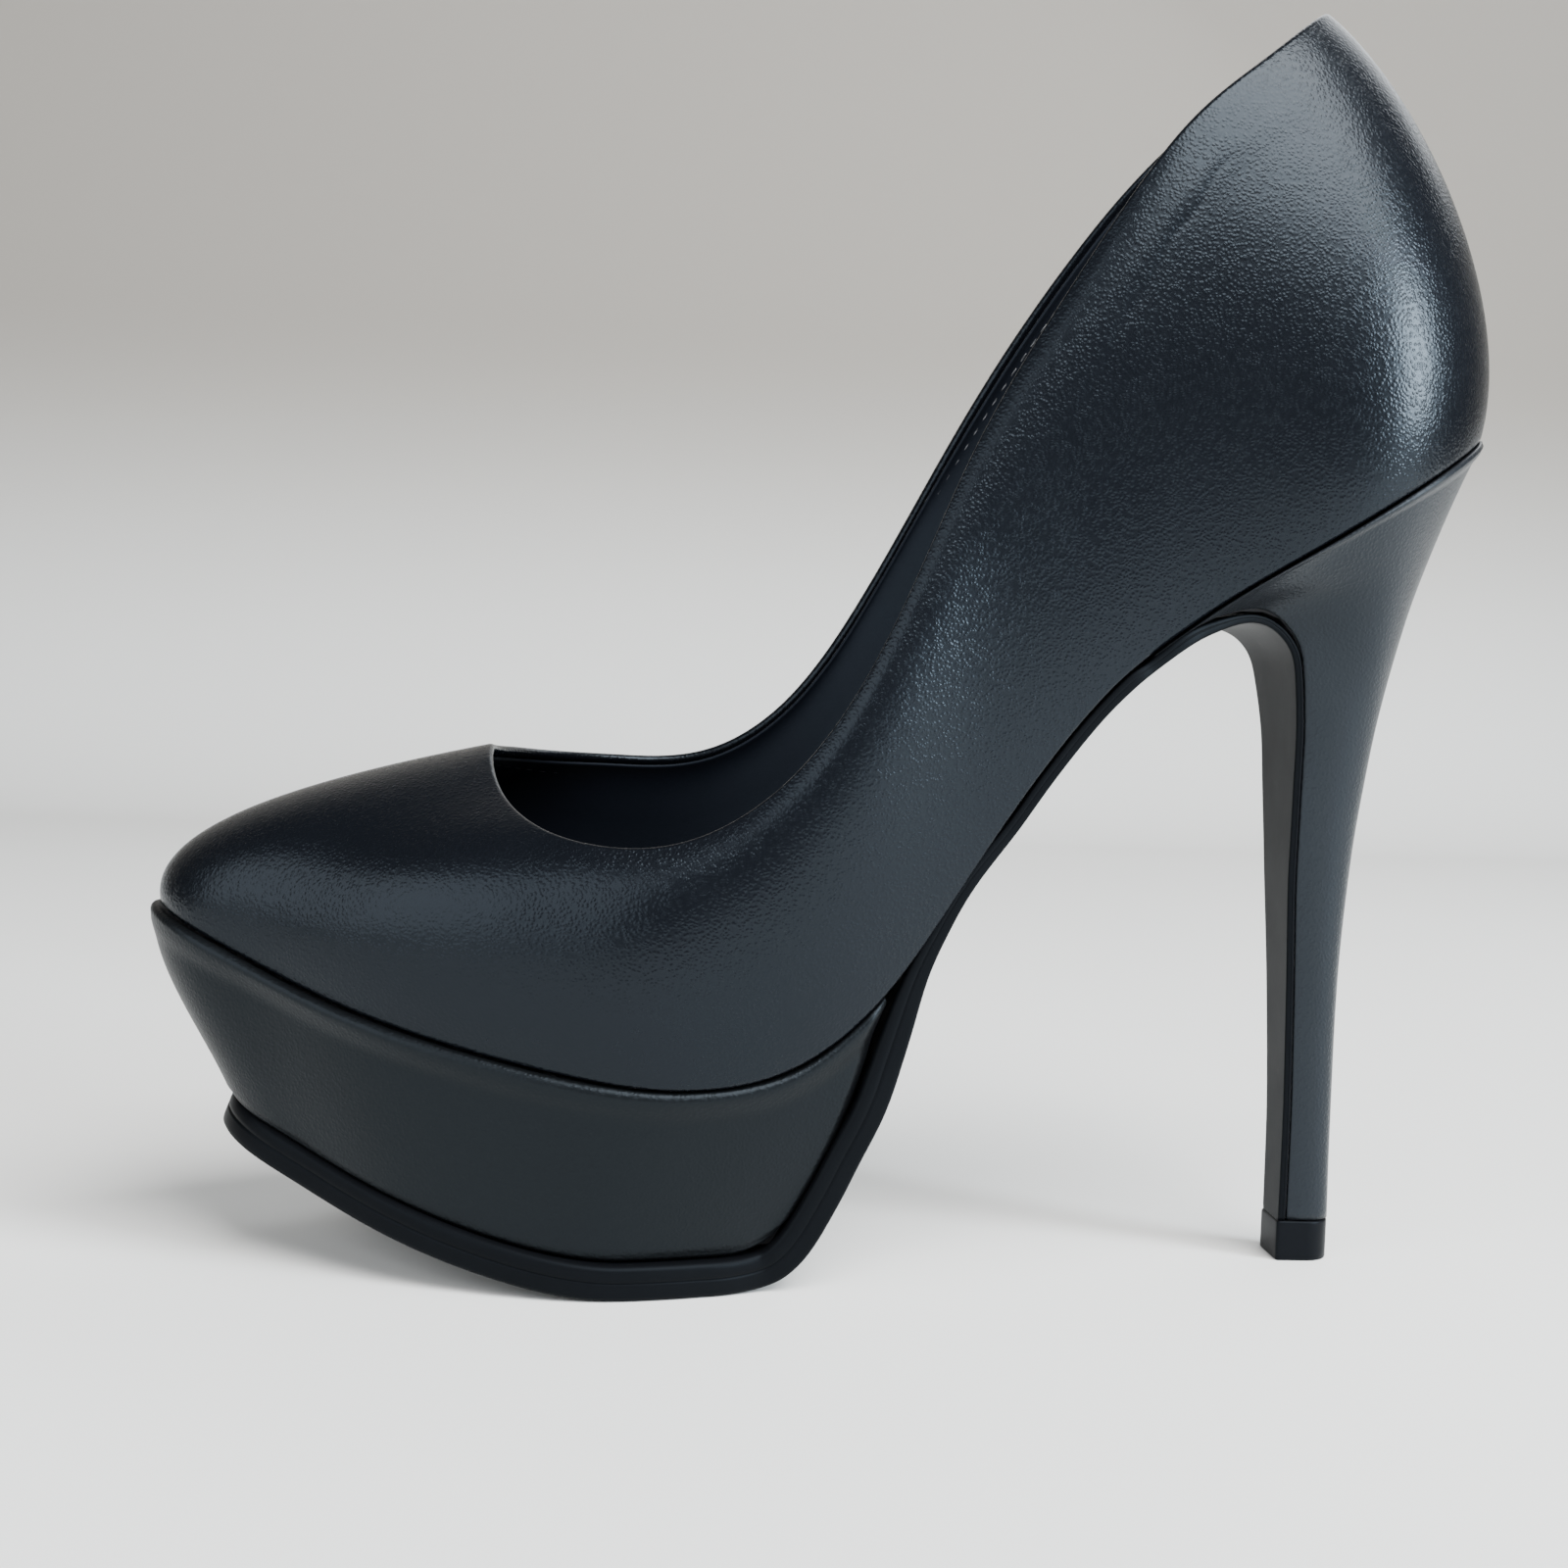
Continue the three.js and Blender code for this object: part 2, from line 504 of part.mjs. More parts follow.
function platformCover() {
  const sideRows = 5;
  const rows = sideRows + 2;
  const turn = 6;
  const sheet = (deep) => (a, t) => {
    const j = Math.round(t * rows) - 1;
    const along = Math.abs(2 * a - 1);
    const side = a < 0.5 ? 1 : -1;
    const s = eased(0, 1, 1 - along);
    const depth = deep * COVER_THICKNESS;
    if (j < 0) return platformPoint(side, s, 0, turn, depth);
    if (j > sideRows) return platformPoint(side, s, 1, turn, depth);
    const w = j / sideRows;
    const bead = COVER_BEAD * smooth(0.82, 0.95, w) * (1 - 0.5 * smooth(0.97, 1, w)) * (1 - smooth(0.97, 1, s));
    return platformPoint(side, s, w, depth - bead * (1 - deep), depth);
  };
  return between(44, rows, sheet(0), sheet(1));
}

// ---------- heel lines shared by the outsole flap and the heel ----------
const SEAT_DROP = LAYER_GAP + 0.1; // gap between the upper and what is cemented under it
const HEEL_BOTTOM = TOP_PIECE_HEIGHT + LAYER_GAP;
const TIP_FRONT = HEEL_TIP_BACK + HEEL_TIP_LENGTH;
const FLAP_HALF = BREAST_TOP_WIDTH / 2;
const TIP_HALF = HEEL_TIP_WIDTH / 2;
// Arch of the outsole where it turns from the waist into the breast: place ahead of the breast's foot,
// drop below the bottom of the last, and half width.
const ARCH = [
  { ahead: 29.1, drop: 3.4, half: 1.87 },
  { ahead: 23.1, drop: 3.6, half: 1.74 },
  { ahead: 18.1, drop: 4.7, half: 1.5 },
  { ahead: 12.1, drop: 6.9, half: 1.26 },
  { ahead: 7.6, drop: 10.8, half: 1.08 },
  { ahead: 4.7, drop: 15.7, half: 1.02 },
  { ahead: 3.5, drop: 20.9, half: 0.96 },
].map(({ ahead, drop, half }) => {
  const x = TIP_FRONT + ahead;
  return { x, z: bottomHeight(x) - drop, half: half * FLAP_HALF };
});
const BREAST_TOP = ARCH[ARCH.length - 1];
const breastX = curveThrough([
  [0, 0], [0.2, 0.03], [0.45, 0.26], [0.63, 0.49], [0.77, 0.6], [0.94, 0.77], [1, 1],
]);
const breastHalf = curveThrough([
  [0, 0], [0.2, 0.05], [0.45, 0.19], [0.63, 0.34], [0.77, 0.56], [0.94, 0.85], [1, 1],
]);
// Front line of the heel below the arch, at share h of the breast's height.
function breast(h) {
  return {
    x: mix(TIP_FRONT, BREAST_TOP.x, breastX(h)),
    z: mix(HEEL_BOTTOM, BREAST_TOP.z, h),
    half: mix(TIP_HALF, BREAST_TOP.half, breastHalf(h)),
  };
}

// ---------- outsole ----------
// The profile as rows: under is the face that shows, over the cemented face, half the width on each side.
function outsoleRows() {
  const rows = [];
  const row = (under, over, widths, chamfer = 0) => rows.push({ under, over, widths, chamfer });
  const sideWidths = (s, w, ledge) => SIDES.map((side) => platformPoint(side, s, w, 0, 0).y * side + ledge);
  const treadSteps = 20;
  const EDGE_CHAMFER = 0.8;
  for (let i = 0; i <= treadSteps; i++) {
    const s = 1 - eased(0, 1, i / treadSteps);
    const tip = OUTSOLE_LEDGE * smooth(0.9, 1, s);
    const x = mix(REAR_BOTTOM + 1.5, FRONT_BOTTOM, s) + tip;
    const widths = sideWidths(s, 0, OUTSOLE_LEDGE * (s > 0.999 ? 0 : 1));
    row([x, treadHeight(x)], [x, treadHeight(x) + OUTSOLE_THICKNESS], widths, EDGE_CHAMFER);
  }
  const inner = (w) => {
    const p = platformPoint(1, 0, w, 0, 0);
    return [p.x - LAYER_GAP, p.z];
  };
  const riserSteps = 9;
  const cornerAngles = 4;
  const cornerWidths = sideWidths(0, 0, OUTSOLE_LEDGE);
  row([REAR_BOTTOM - 1.5, 0.1], [REAR_BOTTOM - LAYER_GAP, OUTSOLE_THICKNESS], cornerWidths, EDGE_CHAMFER);
  for (let i = 1; i <= riserSteps; i++) {
    const w = i / (riserSteps + 1);
    const a = inner(w - 0.03);
    const b = inner(w + 0.03);
    const tilt = Math.hypot(b[0] - a[0], b[1] - a[1]);
    const normal = [-(b[1] - a[1]) / tilt, (b[0] - a[0]) / tilt];
    const corner = i < cornerAngles ? 1 - 0.22 * ((cornerAngles - i) / cornerAngles) : 1;
    const thick = mix(RISER_THICKNESS, OUTSOLE_WAIST + 0.9, smooth(0.35, 1, w)) * corner;
    const at = inner(w);
    const under = [at[0] + normal[0] * thick, Math.max(0, at[1] + normal[1] * thick)];
    const merged = smooth(0.5, 1, w);
    const outer = sideWidths(0, w, OUTSOLE_LEDGE * (1 - w));
    row(under, at, outer.map((y, k) => mix(y, halfWidth(SIDES[k], WAIST_START, 0.9), merged)), 0.6);
  }
  for (const x of stations(ARCH[0].x + 2, WAIST_START).reverse()) {
    const under = offBottom(x, 0, -SEAT_DROP - OUTSOLE_WAIST);
    const over = offBottom(x, 0, -SEAT_DROP);
    row([under.x, under.z], [over.x, over.z], SIDES.map((side) => halfWidth(side, x, 0.9)), 0.3);
  }
  const line = [...ARCH, ...range(12).map((i) => breast(1 - (i + 1) / 12))];
  line.forEach((p, i) => {
    if (i === 0) return;
    const before = line[i - 1];
    const after = line[Math.min(i + 1, line.length - 1)];
    const run = Math.hypot(after.x - before.x, after.z - before.z);
    const normal = [(after.z - before.z) / run, -(after.x - before.x) / run];
    const over = [p.x + normal[0] * BREAST_FLAP, p.z + normal[1] * BREAST_FLAP];
    row([p.x, p.z], over, [p.half, p.half]);
  });
  return rows;
}
function outsole() {
  const rows = outsoleRows();
  const last = rows.length - 1;
  const sheet = (face, trim) => (a, t) => {
    const r = rows[Math.round(a * last)];
    const y = mix(-r.widths[1] + trim * r.chamfer, r.widths[0] - trim * r.chamfer, t);
    return V(r[face][0], y, r[face][1]);
  };
  return between(last, 4, sheet("under", 0), sheet("over", 1));
}

// ---------- heel ----------
const backShare = curveThrough([
  [0, 1], [0.1, 1.01], [0.31, 1.01], [0.46, 0.95], [0.55, 0.88], [0.645, 0.78],
  [0.77, 0.57], [0.86, 0.36], [0.945, 0.13], [1, -0.04],
]);
const sideHalf = curveThrough([
  [0, 0], [0.15, 0.01], [0.3, 0.05], [0.45, 0.12], [0.57, 0.22],
  [0.67, 0.35], [0.75, 0.5], [0.83, 0.67], [0.9, 0.82], [1, 1],
]);
const BREAST_SHARE = 0.68;
// Front edge of the heel at height share h: up behind the breast flap, then forward over the arch.
function frontEdge(h) {
  const behind = BREAST_FLAP + LAYER_GAP + 0.1;
  if (h <= BREAST_SHARE) {
    const p = breast(h / BREAST_SHARE);
    return V(p.x - behind, p.half - 0.3, p.z);
  }
  const t = ((h - BREAST_SHARE) / (1 - BREAST_SHARE)) * (ARCH.length - 1);
  const i = Math.min(Math.floor(t), ARCH.length - 2);
  const from = ARCH[ARCH.length - 1 - i];
  const to = ARCH[ARCH.length - 2 - i];
  const tilt = ([a, b]) => {
    const run = Math.hypot(b.x - a.x, b.z - a.z);
    return [(b.z - a.z) / run, (b.x - a.x) / run];
  };
  const edge = tilt([from, to]);
  const next = ARCH[Math.max(ARCH.length - 3 - i, 0)];
  const ahead = next === to ? edge : tilt([from, next]);
  const k = t - i;
  const n = [mix(edge[0], ahead[0], k), mix(edge[1], ahead[1], k)];
  const x = mix(from.x, to.x, k) - n[0] * behind;
  const z = mix(from.z, to.z, k) + n[1] * behind;
  return V(x, mix(from.half, to.half, k) - 0.3, Math.min(z, bottomHeight(x) - SEAT_DROP - 0.05));
}
const TONGUE_X = frontEdge(1).x;
// Outer surface of the heel on one side: h from the tip to the seat, a from the breast to the back.
function heelSkin(side, h, a) {
  const front = frontEdge(h);
  front.y *= side;
  const backZ = mix(HEEL_BOTTOM, SEAT_HEIGHT - SEAT_DROP, h);
  const back = V(HEEL_TIP_BACK * backShare(h), 0, backZ);
  const half = side * mix(TIP_HALF + 0.2, SEAT_WIDTH / 2, sideHalf(h));
  const w = 1 - a;
  const steerHalf = Math.max(Math.abs(front.y), Math.abs(half) * 1.05);
  const steer1 = V(mix(front.x, back.x, 0.4), steerHalf * side, mix(front.z, back.z, 0.35));
  const steer2 = V(back.x, half, back.z);
  const bezier = (p, q, r, s) => p.clone().multiplyScalar(w * w * w).addScaledVector(q, 3 * w * w * a)
    .addScaledVector(r, 3 * w * a * a).addScaledVector(s, a * a * a);
  const point = bezier(front, steer1, steer2, back);
  const blend = smooth(0.6, 1, h);
  if (blend === 0) return point;
  const tongue = uAt(side, TONGUE_X);
  const end = side > 0 ? 0 : 1;
  const onSeam = inset(mix(tongue, end, a), -0.2);
  const seam = offBottom(onSeam.x, onSeam.y, -SEAT_DROP);
  const topFront = frontEdge(1);
  topFront.y *= side;
  const topBack = V(HEEL_TIP_BACK * backShare(1), 0, SEAT_HEIGHT - SEAT_DROP);
  const topHalf = side * SEAT_WIDTH * 0.525;
  const topSteer1 = V(mix(topFront.x, topBack.x, 0.4), topHalf, mix(topFront.z, topBack.z, 0.35));
  const topSteer2 = V(topBack.x, side * SEAT_WIDTH * 0.5, topBack.z);
  const top = bezier(topFront, topSteer1, topSteer2, topBack);
  return point.addScaledVector(seam.sub(top), blend);
}
function heelLayer(side, h, a, depth) {
  const e = 0.004;
  const along = heelSkin(side, h, Math.min(a + e, 1)).sub(heelSkin(side, h, Math.max(a - e, 0)));
  const inward = V(-along.y, along.x, 0).multiplyScalar(side).normalize();
  if (a > 0.999) inward.set(1, 0, 0);
  return heelSkin(side, h, a).addScaledVector(inward, depth);
}
const HEEL_ROWS = [
  ...range(10).map((i) => (i / 10) * BREAST_SHARE),
  ...range(10).map((i) => mix(BREAST_SHARE, 1, i / 9)),
];
function heelCover() {
  const sheet = (depth) => (s, t) => {
    const side = s < 0.5 ? 1 : -1;
    return heelLayer(side, pick(HEEL_ROWS, t), 1 - Math.abs(2 * s - 1), depth);
  };
  return between(20, HEEL_ROWS.length - 1, sheet(0), sheet(HEEL_COVER_THICKNESS));
}
function heelBlock() {
  const depth = HEEL_COVER_THICKNESS + LAYER_GAP;
  const height = (t) => THREE.MathUtils.clamp(pick(HEEL_ROWS, t), 0.004, 0.985);
  const sheet = (side) => (a, t) => heelLayer(side, height(t), a, depth);
  const body = between(10, HEEL_ROWS.length - 1, sheet(1), sheet(-1));
  const bore = rodBetween(V(TUBE_X, 0, 0), V(TUBE_X, 0, TUBE_TOP + LAYER_GAP), HEEL_TUBE_RADIUS + LAYER_GAP);
  return cut(body, [bore, ...fastenerHoles]);
}
const TUBE_X = HEEL_TIP_BACK + HEEL_TIP_LENGTH * 0.42;
const TUBE_TOP = 0.66 * SEAT_HEIGHT;
const DOWEL_TOP = HEEL_BOTTOM + 14;
function heelTube() {
  const bottom = HEEL_BOTTOM + 0.2;
  const body = rodBetween(V(TUBE_X, 0, bottom), V(TUBE_X, 0, TUBE_TOP), HEEL_TUBE_RADIUS);
  return cut(body, [rodBetween(V(TUBE_X, 0, 0), V(TUBE_X, 0, DOWEL_TOP + 3), DOWEL_RADIUS + LAYER_GAP)]);
}
const dowel = (grow) => rodBetween(V(TUBE_X, 0, 2 - grow), V(TUBE_X, 0, DOWEL_TOP + grow), DOWEL_RADIUS + grow);
const topPieceDowel = () => dowel(0);
function topPiece() {
  const front = TIP_FRONT + TOP_PIECE_OVERHANG;
  const half = TIP_HALF + TOP_PIECE_OVERHANG;
  const outline = new THREE.Shape();
  outline.moveTo(front, -half);
  outline.lineTo(front, half);
  outline.lineTo(HEEL_TIP_BACK + half, half);
  outline.absarc(HEEL_TIP_BACK + half, 0, half, Math.PI / 2, (3 * Math.PI) / 2, false);
  const form = { depth: TOP_PIECE_HEIGHT, bevelEnabled: false, curveSegments: 12 };
  return cut(new THREE.ExtrudeGeometry(outline, form), [dowel(LAYER_GAP)]);
}

// ---------- materials and assembly ----------
const look = (color, roughness, metalness = 0) =>
  new THREE.MeshStandardMaterial({ color, roughness, metalness });
const leather = look(0x17181c, 0.42);
const coverLeather = look(0x141518, 0.5);
const liningLeather = look(0x1b1a1c, 0.6);
const rubber = look(0x0d0d0f, 0.45);
const stiffener = look(0xcfc7b4, 0.8);
const board = look(0x9c7f5c, 0.85);
const foam = look(0xe4ddc8, 0.9);
const steel = look(0xb4b7bb, 0.35, 1);
const plastic = look(0xd9d4c6, 0.55);
const tape = look(0xece8df, 0.85);

const group = new THREE.Group();
function add(name, geometry, material) {
  const mesh = new THREE.Mesh(geometry, material);
  mesh.name = name;
  group.add(mesh);
}
add("upper", upper(), leather);
add("lining", lining(), liningLeather);
add("topline_tape", toplineTape(), tape);
add("toe_puff", toePuff(), stiffener);
add("heel_counter", heelCounter(), stiffener);
add("insole_board", insoleBoard(), board);
add("shank_board", shankBoard(), board);
add("steel_shank", shank(), steel);
add("forefoot_pad", forefootPad(), foam);
add("heel_pad", heelPad(), foam);
add("sock_lining", sockLining(), liningLeather);
add("bottom_filler", bottomFiller(), board);
add("platform_core", platformCore(), plastic);
add("platform_cover", platformCover(), coverLeather);
add("outsole", outsole(), rubber);
add("heel_block", heelBlock(), plastic);
add("heel_cover", heelCover(), leather);
add("heel_tube", heelTube(), steel);
add("top_piece", topPiece(), rubber);
add("top_piece_dowel", topPieceDowel(), steel);
add("heel_screw", fastenerBody(heelScrew), steel);
heelNails.forEach((nail, i) => add(`heel_nail_${i + 1}`, fastenerBody(nail), steel));
shankRivets.forEach((rivet, i) => add(`shank_rivet_${i + 1}`, fastenerBody(rivet), steel));

const box = new THREE.Box3().setFromObject(group);
const middle = box.getCenter(V(0, 0, 0));
group.position.set(-middle.x, -middle.y, -box.min.z);

export default group;
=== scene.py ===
"""Black leather platform pump with a stiletto heel: the fine surfaces and finishes round the CAD frame.

The shoe is worked out in millimetres in its own frame, x from the back of the heel seat towards the
toe, y to the wearer's left, z up, and moved into the CAD frame by place().
"""

import bpy
import numpy as np
from mathutils import Matrix


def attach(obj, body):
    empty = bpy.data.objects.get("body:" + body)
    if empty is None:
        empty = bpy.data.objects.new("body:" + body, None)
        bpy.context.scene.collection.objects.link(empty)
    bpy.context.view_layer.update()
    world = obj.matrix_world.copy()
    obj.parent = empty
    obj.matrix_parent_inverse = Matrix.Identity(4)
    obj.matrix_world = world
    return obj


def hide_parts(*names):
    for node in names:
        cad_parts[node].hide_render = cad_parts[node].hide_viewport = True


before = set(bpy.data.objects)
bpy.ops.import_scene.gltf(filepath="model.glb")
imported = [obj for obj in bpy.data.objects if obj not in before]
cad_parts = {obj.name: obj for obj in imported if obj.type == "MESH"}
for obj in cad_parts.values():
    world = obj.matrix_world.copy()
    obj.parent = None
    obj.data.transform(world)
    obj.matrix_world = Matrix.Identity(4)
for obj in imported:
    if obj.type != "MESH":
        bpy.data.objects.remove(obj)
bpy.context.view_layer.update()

MM = 0.001
CENTRE = (-104.917, 0.904, 0)

# ---------- driving dimensions, as in the CAD ----------
LENGTH = 209.5
SEAT_HEIGHT = 135.5
TREAD_HEIGHT = 32.0
TOE_RISE = 22.0
HALF = {"seat": 23.2, "waist": 22.25, "ball": 35.3}
RISE = {"back": (67.0, 67.0), "side": (31.6, 42.6), "throat": (26.3, 26.3)}
COVER_TAPER = 0.93
REAR_TOP = 97.6
REAR_BOTTOM = 112.6
FRONT_TOP = 210.7
FRONT_BOTTOM = 198.2
OUTSOLE_THICKNESS = 5.4
SPRING_START = 136.0
TOE_SPRING = 19.0
SEAT_DROP = 0.4
HEEL_TIP_BACK = 18.6
TIP_FRONT = 27.9
TIP_HALF = 4.3
FLAP_HALF = 11.5
HEEL_BOTTOM = 6.8
UPPER_THICKNESS = 1.1
LINING_FOOT = (2.4, 3.1)
LINING_EDGE = (1.66, 2.26)


# ---------- curves ----------
def smooth(a, b, x):
    """0 below a, 1 above b, and 3t^2 - 2t^3 between them."""
    t = np.clip((np.asarray(x, float) - a) / (b - a), 0, 1)
    return t * t * (3 - 2 * t)


def hump(x, middle, width):
    """exp(-((x - middle) / width)^2)"""
    return np.exp(-(((np.asarray(x, float) - middle) / width) ** 2))


def mix(a, b, t):
    """a where t is 0, b where it is 1."""
    return a + (b - a) * t


def unit(v):
    """Vectors scaled to length 1."""
    return v / np.linalg.norm(v, axis=-1, keepdims=True)


def curve_through(points):
    """Cubic Hermite through a few (x, y) points, with chord slopes."""
    p = np.array(points, float)
    lo = np.maximum(np.arange(len(p)) - 1, 0)
    hi = np.minimum(np.arange(len(p)) + 1, len(p) - 1)
    slope = (p[hi, 1] - p[lo, 1]) / (p[hi, 0] - p[lo, 0])

    def at(x):
        i = np.clip(np.searchsorted(p[:, 0], x, side="right") - 1, 0, len(p) - 2)
        w = p[i + 1, 0] - p[i, 0]
        t = np.clip((x - p[i, 0]) / w, -0.2, 1.2)
        return (
            (2 * t**3 - 3 * t**2 + 1) * p[i, 1]
            + (t**3 - 2 * t**2 + t) * w * slope[i]
            + (3 * t**2 - 2 * t**3) * p[i + 1, 1]
            + (t**3 - t**2) * w * slope[i + 1]
        )

    return at


def spline(points, knots, loop=False):
    """C2 cubic spline through the points: the second derivatives m solve
    h0 m0 + 2 (h0 + h1) m1 + h1 m2 = 6 (slope1 - slope0), round a loop or with m = 0 at the ends."""
    y = np.array(points, float)
    k = np.array(knots, float)
    if loop:
        y = np.vstack([y, y[:1]])
    n = len(y) - 1
    h = np.diff(k)
    slope = np.diff(y, axis=0) / h[:, None]
    a = np.zeros((n + 1, n + 1))
    b = np.zeros((n + 1, y.shape[1]))
    for i in range(1, n):
        a[i, i - 1], a[i, i], a[i, i + 1] = h[i - 1], 2 * (h[i - 1] + h[i]), h[i]
        b[i] = 6 * (slope[i] - slope[i - 1])
    if loop:
        a[0, n - 1], a[0, 0], a[0, 1] = h[-1], 2 * (h[-1] + h[0]), h[0]
        b[0] = 6 * (slope[0] - slope[-1])
        a[n, n], a[n, 0] = 1, -1
    else:
        a[0, 0] = a[n, n] = 1
    m = np.linalg.solve(a, b)

    def at(t):
        t = np.asarray(t, float)
        if loop:
            t = k[0] + np.mod(t - k[0], k[-1] - k[0])
        i = np.clip(np.searchsorted(k, t, side="right") - 1, 0, n - 1)
        step, left, right = h[i][..., None], (k[i + 1] - t)[..., None], (t - k[i])[..., None]
        return (
            (m[i] * left**3 + m[i + 1] * right**3) / (6 * step)
            + (y[i] / step - m[i] * step / 6) * left
            + (y[i + 1] / step - m[i + 1] * step / 6) * right
        )

    return at


def chords(points, power=0.5):
    """Knots that grow with the chord lengths to a power, from 0 to 1."""
    p = np.array(points, float)
    return np.concatenate([[0], np.cumsum(np.linalg.norm(np.diff(p, axis=0), axis=1) ** power)])


# ---------- the last: bottom profile and the four loops of the upper ----------
lift_share = curve_through([
    (0, 1), (0.134, 0.831), (0.239, 0.694), (0.315, 0.56), (0.406, 0.304),
    (0.463, 0.135), (0.525, 0.031), (0.6, 0), (0.72, 0), (1, 0),
])
spring_share = curve_through([(0, 0), (0.55, 0), (0.62, 0.01), (0.716, 0.115), (0.86, 0.46), (1, 1)])


def bottom_height(x):
    """Height of the last's bottom on its middle line: heel lift and toe spring added to the tread."""
    s = np.asarray(x, float) / LENGTH
    return TREAD_HEIGHT + (SEAT_HEIGHT - TREAD_HEIGHT) * lift_share(s) + TOE_RISE * spring_share(s)


def off_bottom(x, y, d):
    """The point at plan place (x, y), a distance d off the bottom of the last along its normal."""
    x, y, d = np.broadcast_arrays(np.asarray(x, float), y, d)
    slope = (bottom_height(x + 1.5) - bottom_height(x - 1.5)) / 3
    n = np.hypot(slope, 1)
    return np.stack([x - d * slope / n, y, bottom_height(x) + d / n], -1)


# half width name, feather line place and share, topline place and share, topline rise and its name,
# how far out and up the wall leaves the feather line, and how it reaches the topline
LATERAL = [
    ("seat", 0.033, 0.63, 0.155, 0.4, 1.005, "back", 4.9, 21, (-13, 5, -12)),
    ("seat", 0.105, 1.01, 0.205, 0.72, 1.009, "back", 4.6, 20, (-12, 6, -17)),
    ("seat", 0.2, 1.0, 0.267, 0.91, 1.012, "back", 3.6, 19, (-7, 5, -19)),
    ("waist", 0.296, 1.04, 0.344, 1.035, 0.884, "back", 2.8, 17, (-3, 4, -17)),
    ("waist", 0.391, 1.1, 0.415, 1.17, 0.875, "back", 3, 15, (-1, 3, -14)),
    ("ball", 0.482, 0.8, 0.477, 0.878, 1.75, "side", 3.4, 13, (0, 2.5, -11)),
    ("ball", 0.563, 0.92, 0.539, 0.94, 1.42, "side", 4, 12, (1, 2.5, -10)),
    ("ball", 0.649, 0.972, 0.611, 0.963, 1.127, "side", 4.4, 12, (2, 3.5, -10)),
    ("ball", 0.74, 0.895, 0.678, 0.892, 1, "side", 4.4, 12, (6, 5, -8)),
    ("ball", 0.835, 0.722, 0.721, 0.708, 1.12, "throat", 4, 12, (13, 7, -6)),
    ("ball", 0.921, 0.476, 0.746, 0.425, 1.04, "throat", 3, 12.5, (19, 7, -6)),
    ("ball", 0.976, 0.3, 0.755, 0.198, 1.005, "throat", 2.4, 12.5, (23, 4, -5.5)),
]
MEDIAL = [
    ("seat", 0.033, 0.62, 0.155, 0.41, 1.005, "back", 4.9, 21, (-13, 5, -12)),
    ("seat", 0.105, 0.985, 0.205, 0.73, 1.015, "back", 4.6, 20, (-12, 6, -17)),
    ("seat", 0.2, 0.95, 0.267, 0.92, 0.998, "back", 3.6, 19, (-7, 5, -19)),
    ("waist", 0.296, 0.93, 0.34, 1.04, 0.905, "back", 2.8, 17, (-3, 4, -17)),
    ("waist", 0.391, 0.97, 0.405, 1.17, 0.933, "back", 3, 15, (-1, 3, -14)),
    ("ball", 0.482, 0.75, 0.468, 0.878, 1.48, "side", 3.4, 13, (0, 2.5, -12)),
    ("ball", 0.563, 0.905, 0.525, 0.935, 1.293, "side", 4, 12, (1, 2.5, -12)),
    ("ball", 0.654, 1.028, 0.592, 0.974, 1.094, "side", 4.4, 12, (2, 4, -11)),
    ("ball", 0.745, 0.985, 0.663, 0.915, 0.995, "side", 4.4, 12, (6, 6, -9)),
    ("ball", 0.835, 0.8, 0.716, 0.708, 0.9, "side", 4, 12, (13, 8, -6.5)),
    ("ball", 0.921, 0.52, 0.744, 0.425, 1.24, "throat", 3, 12.5, (19, 7, -5.5)),
    ("ball", 0.976, 0.325, 0.755, 0.198, 1.07, "throat", 2.4, 12.5, (23, 4, -5.2)),
]
BACK = ("seat", 0, 0, 0.134, 0, 0.995, "back", 5, 22, (-16, 0, -12))
TOE = ("ball", 1, 0, 0.757, 0, 1, "throat", 3, 12.5, (25.5, 0, -5.8))


def station(row, side):
    """Feather line point, topline point, steering out and up, and steering at the topline."""
    half, fx, fy, tx, ty, rise, rise_name, out, up, arrive = row
    foot = off_bottom(fx * LENGTH, side * fy * HALF[half], 0.0)
    lift = rise * RISE[rise_name][0 if side > 0 else 1]
    top = np.array([tx * LENGTH, side * ty * HALF[half], foot[2] + lift])
    return foot, top, out, up, np.array(arrive) * (1, side, 1)


rows = [station(BACK, 1)] + [station(r, 1) for r in LATERAL]
rows += [station(TOE, 1)] + [station(r, -1) for r in reversed(MEDIAL)]
feet = np.array([r[0] for r in rows])
tops = np.array([r[1] for r in rows])
both = np.hstack([feet, tops])
KNOTS = chords(np.vstack([both, both[:1]]), 0.8)
KNOTS /= KNOTS[-1]
TOE_U = KNOTS[len(LATERAL) + 1]
feather_line = spline(feet, KNOTS, loop=True)
tangent = feather_line(KNOTS[:-1] + 1e-3) - feather_line(KNOTS[:-1] - 1e-3)
outward = np.stack([-tangent[:, 1], tangent[:, 0], 0 * tangent[:, 0]], -1)
outward = unit(outward)
leaving = outward * np.array([[r[2]] for r in rows]) + np.array([[0, 0, r[3]] for r in rows])
arriving = np.array([r[4] for r in rows])
loops = [feather_line]
loops += [spline(p, KNOTS, loop=True) for p in (feet + leaving, tops + arriving, tops)]


def bare_skin(u, v):
    """Cubic Bezier up the wall between the four loops: u once round, v from feather line to topline."""
    u, v = np.broadcast_arrays(np.asarray(u, float), v)
    w = (1 - v)[..., None]
    t = v[..., None]
    a, b, c, d = (loop(u) for loop in loops)
    return a * w**3 + 3 * b * w**2 * t + 3 * c * w * t**2 + d * t**3


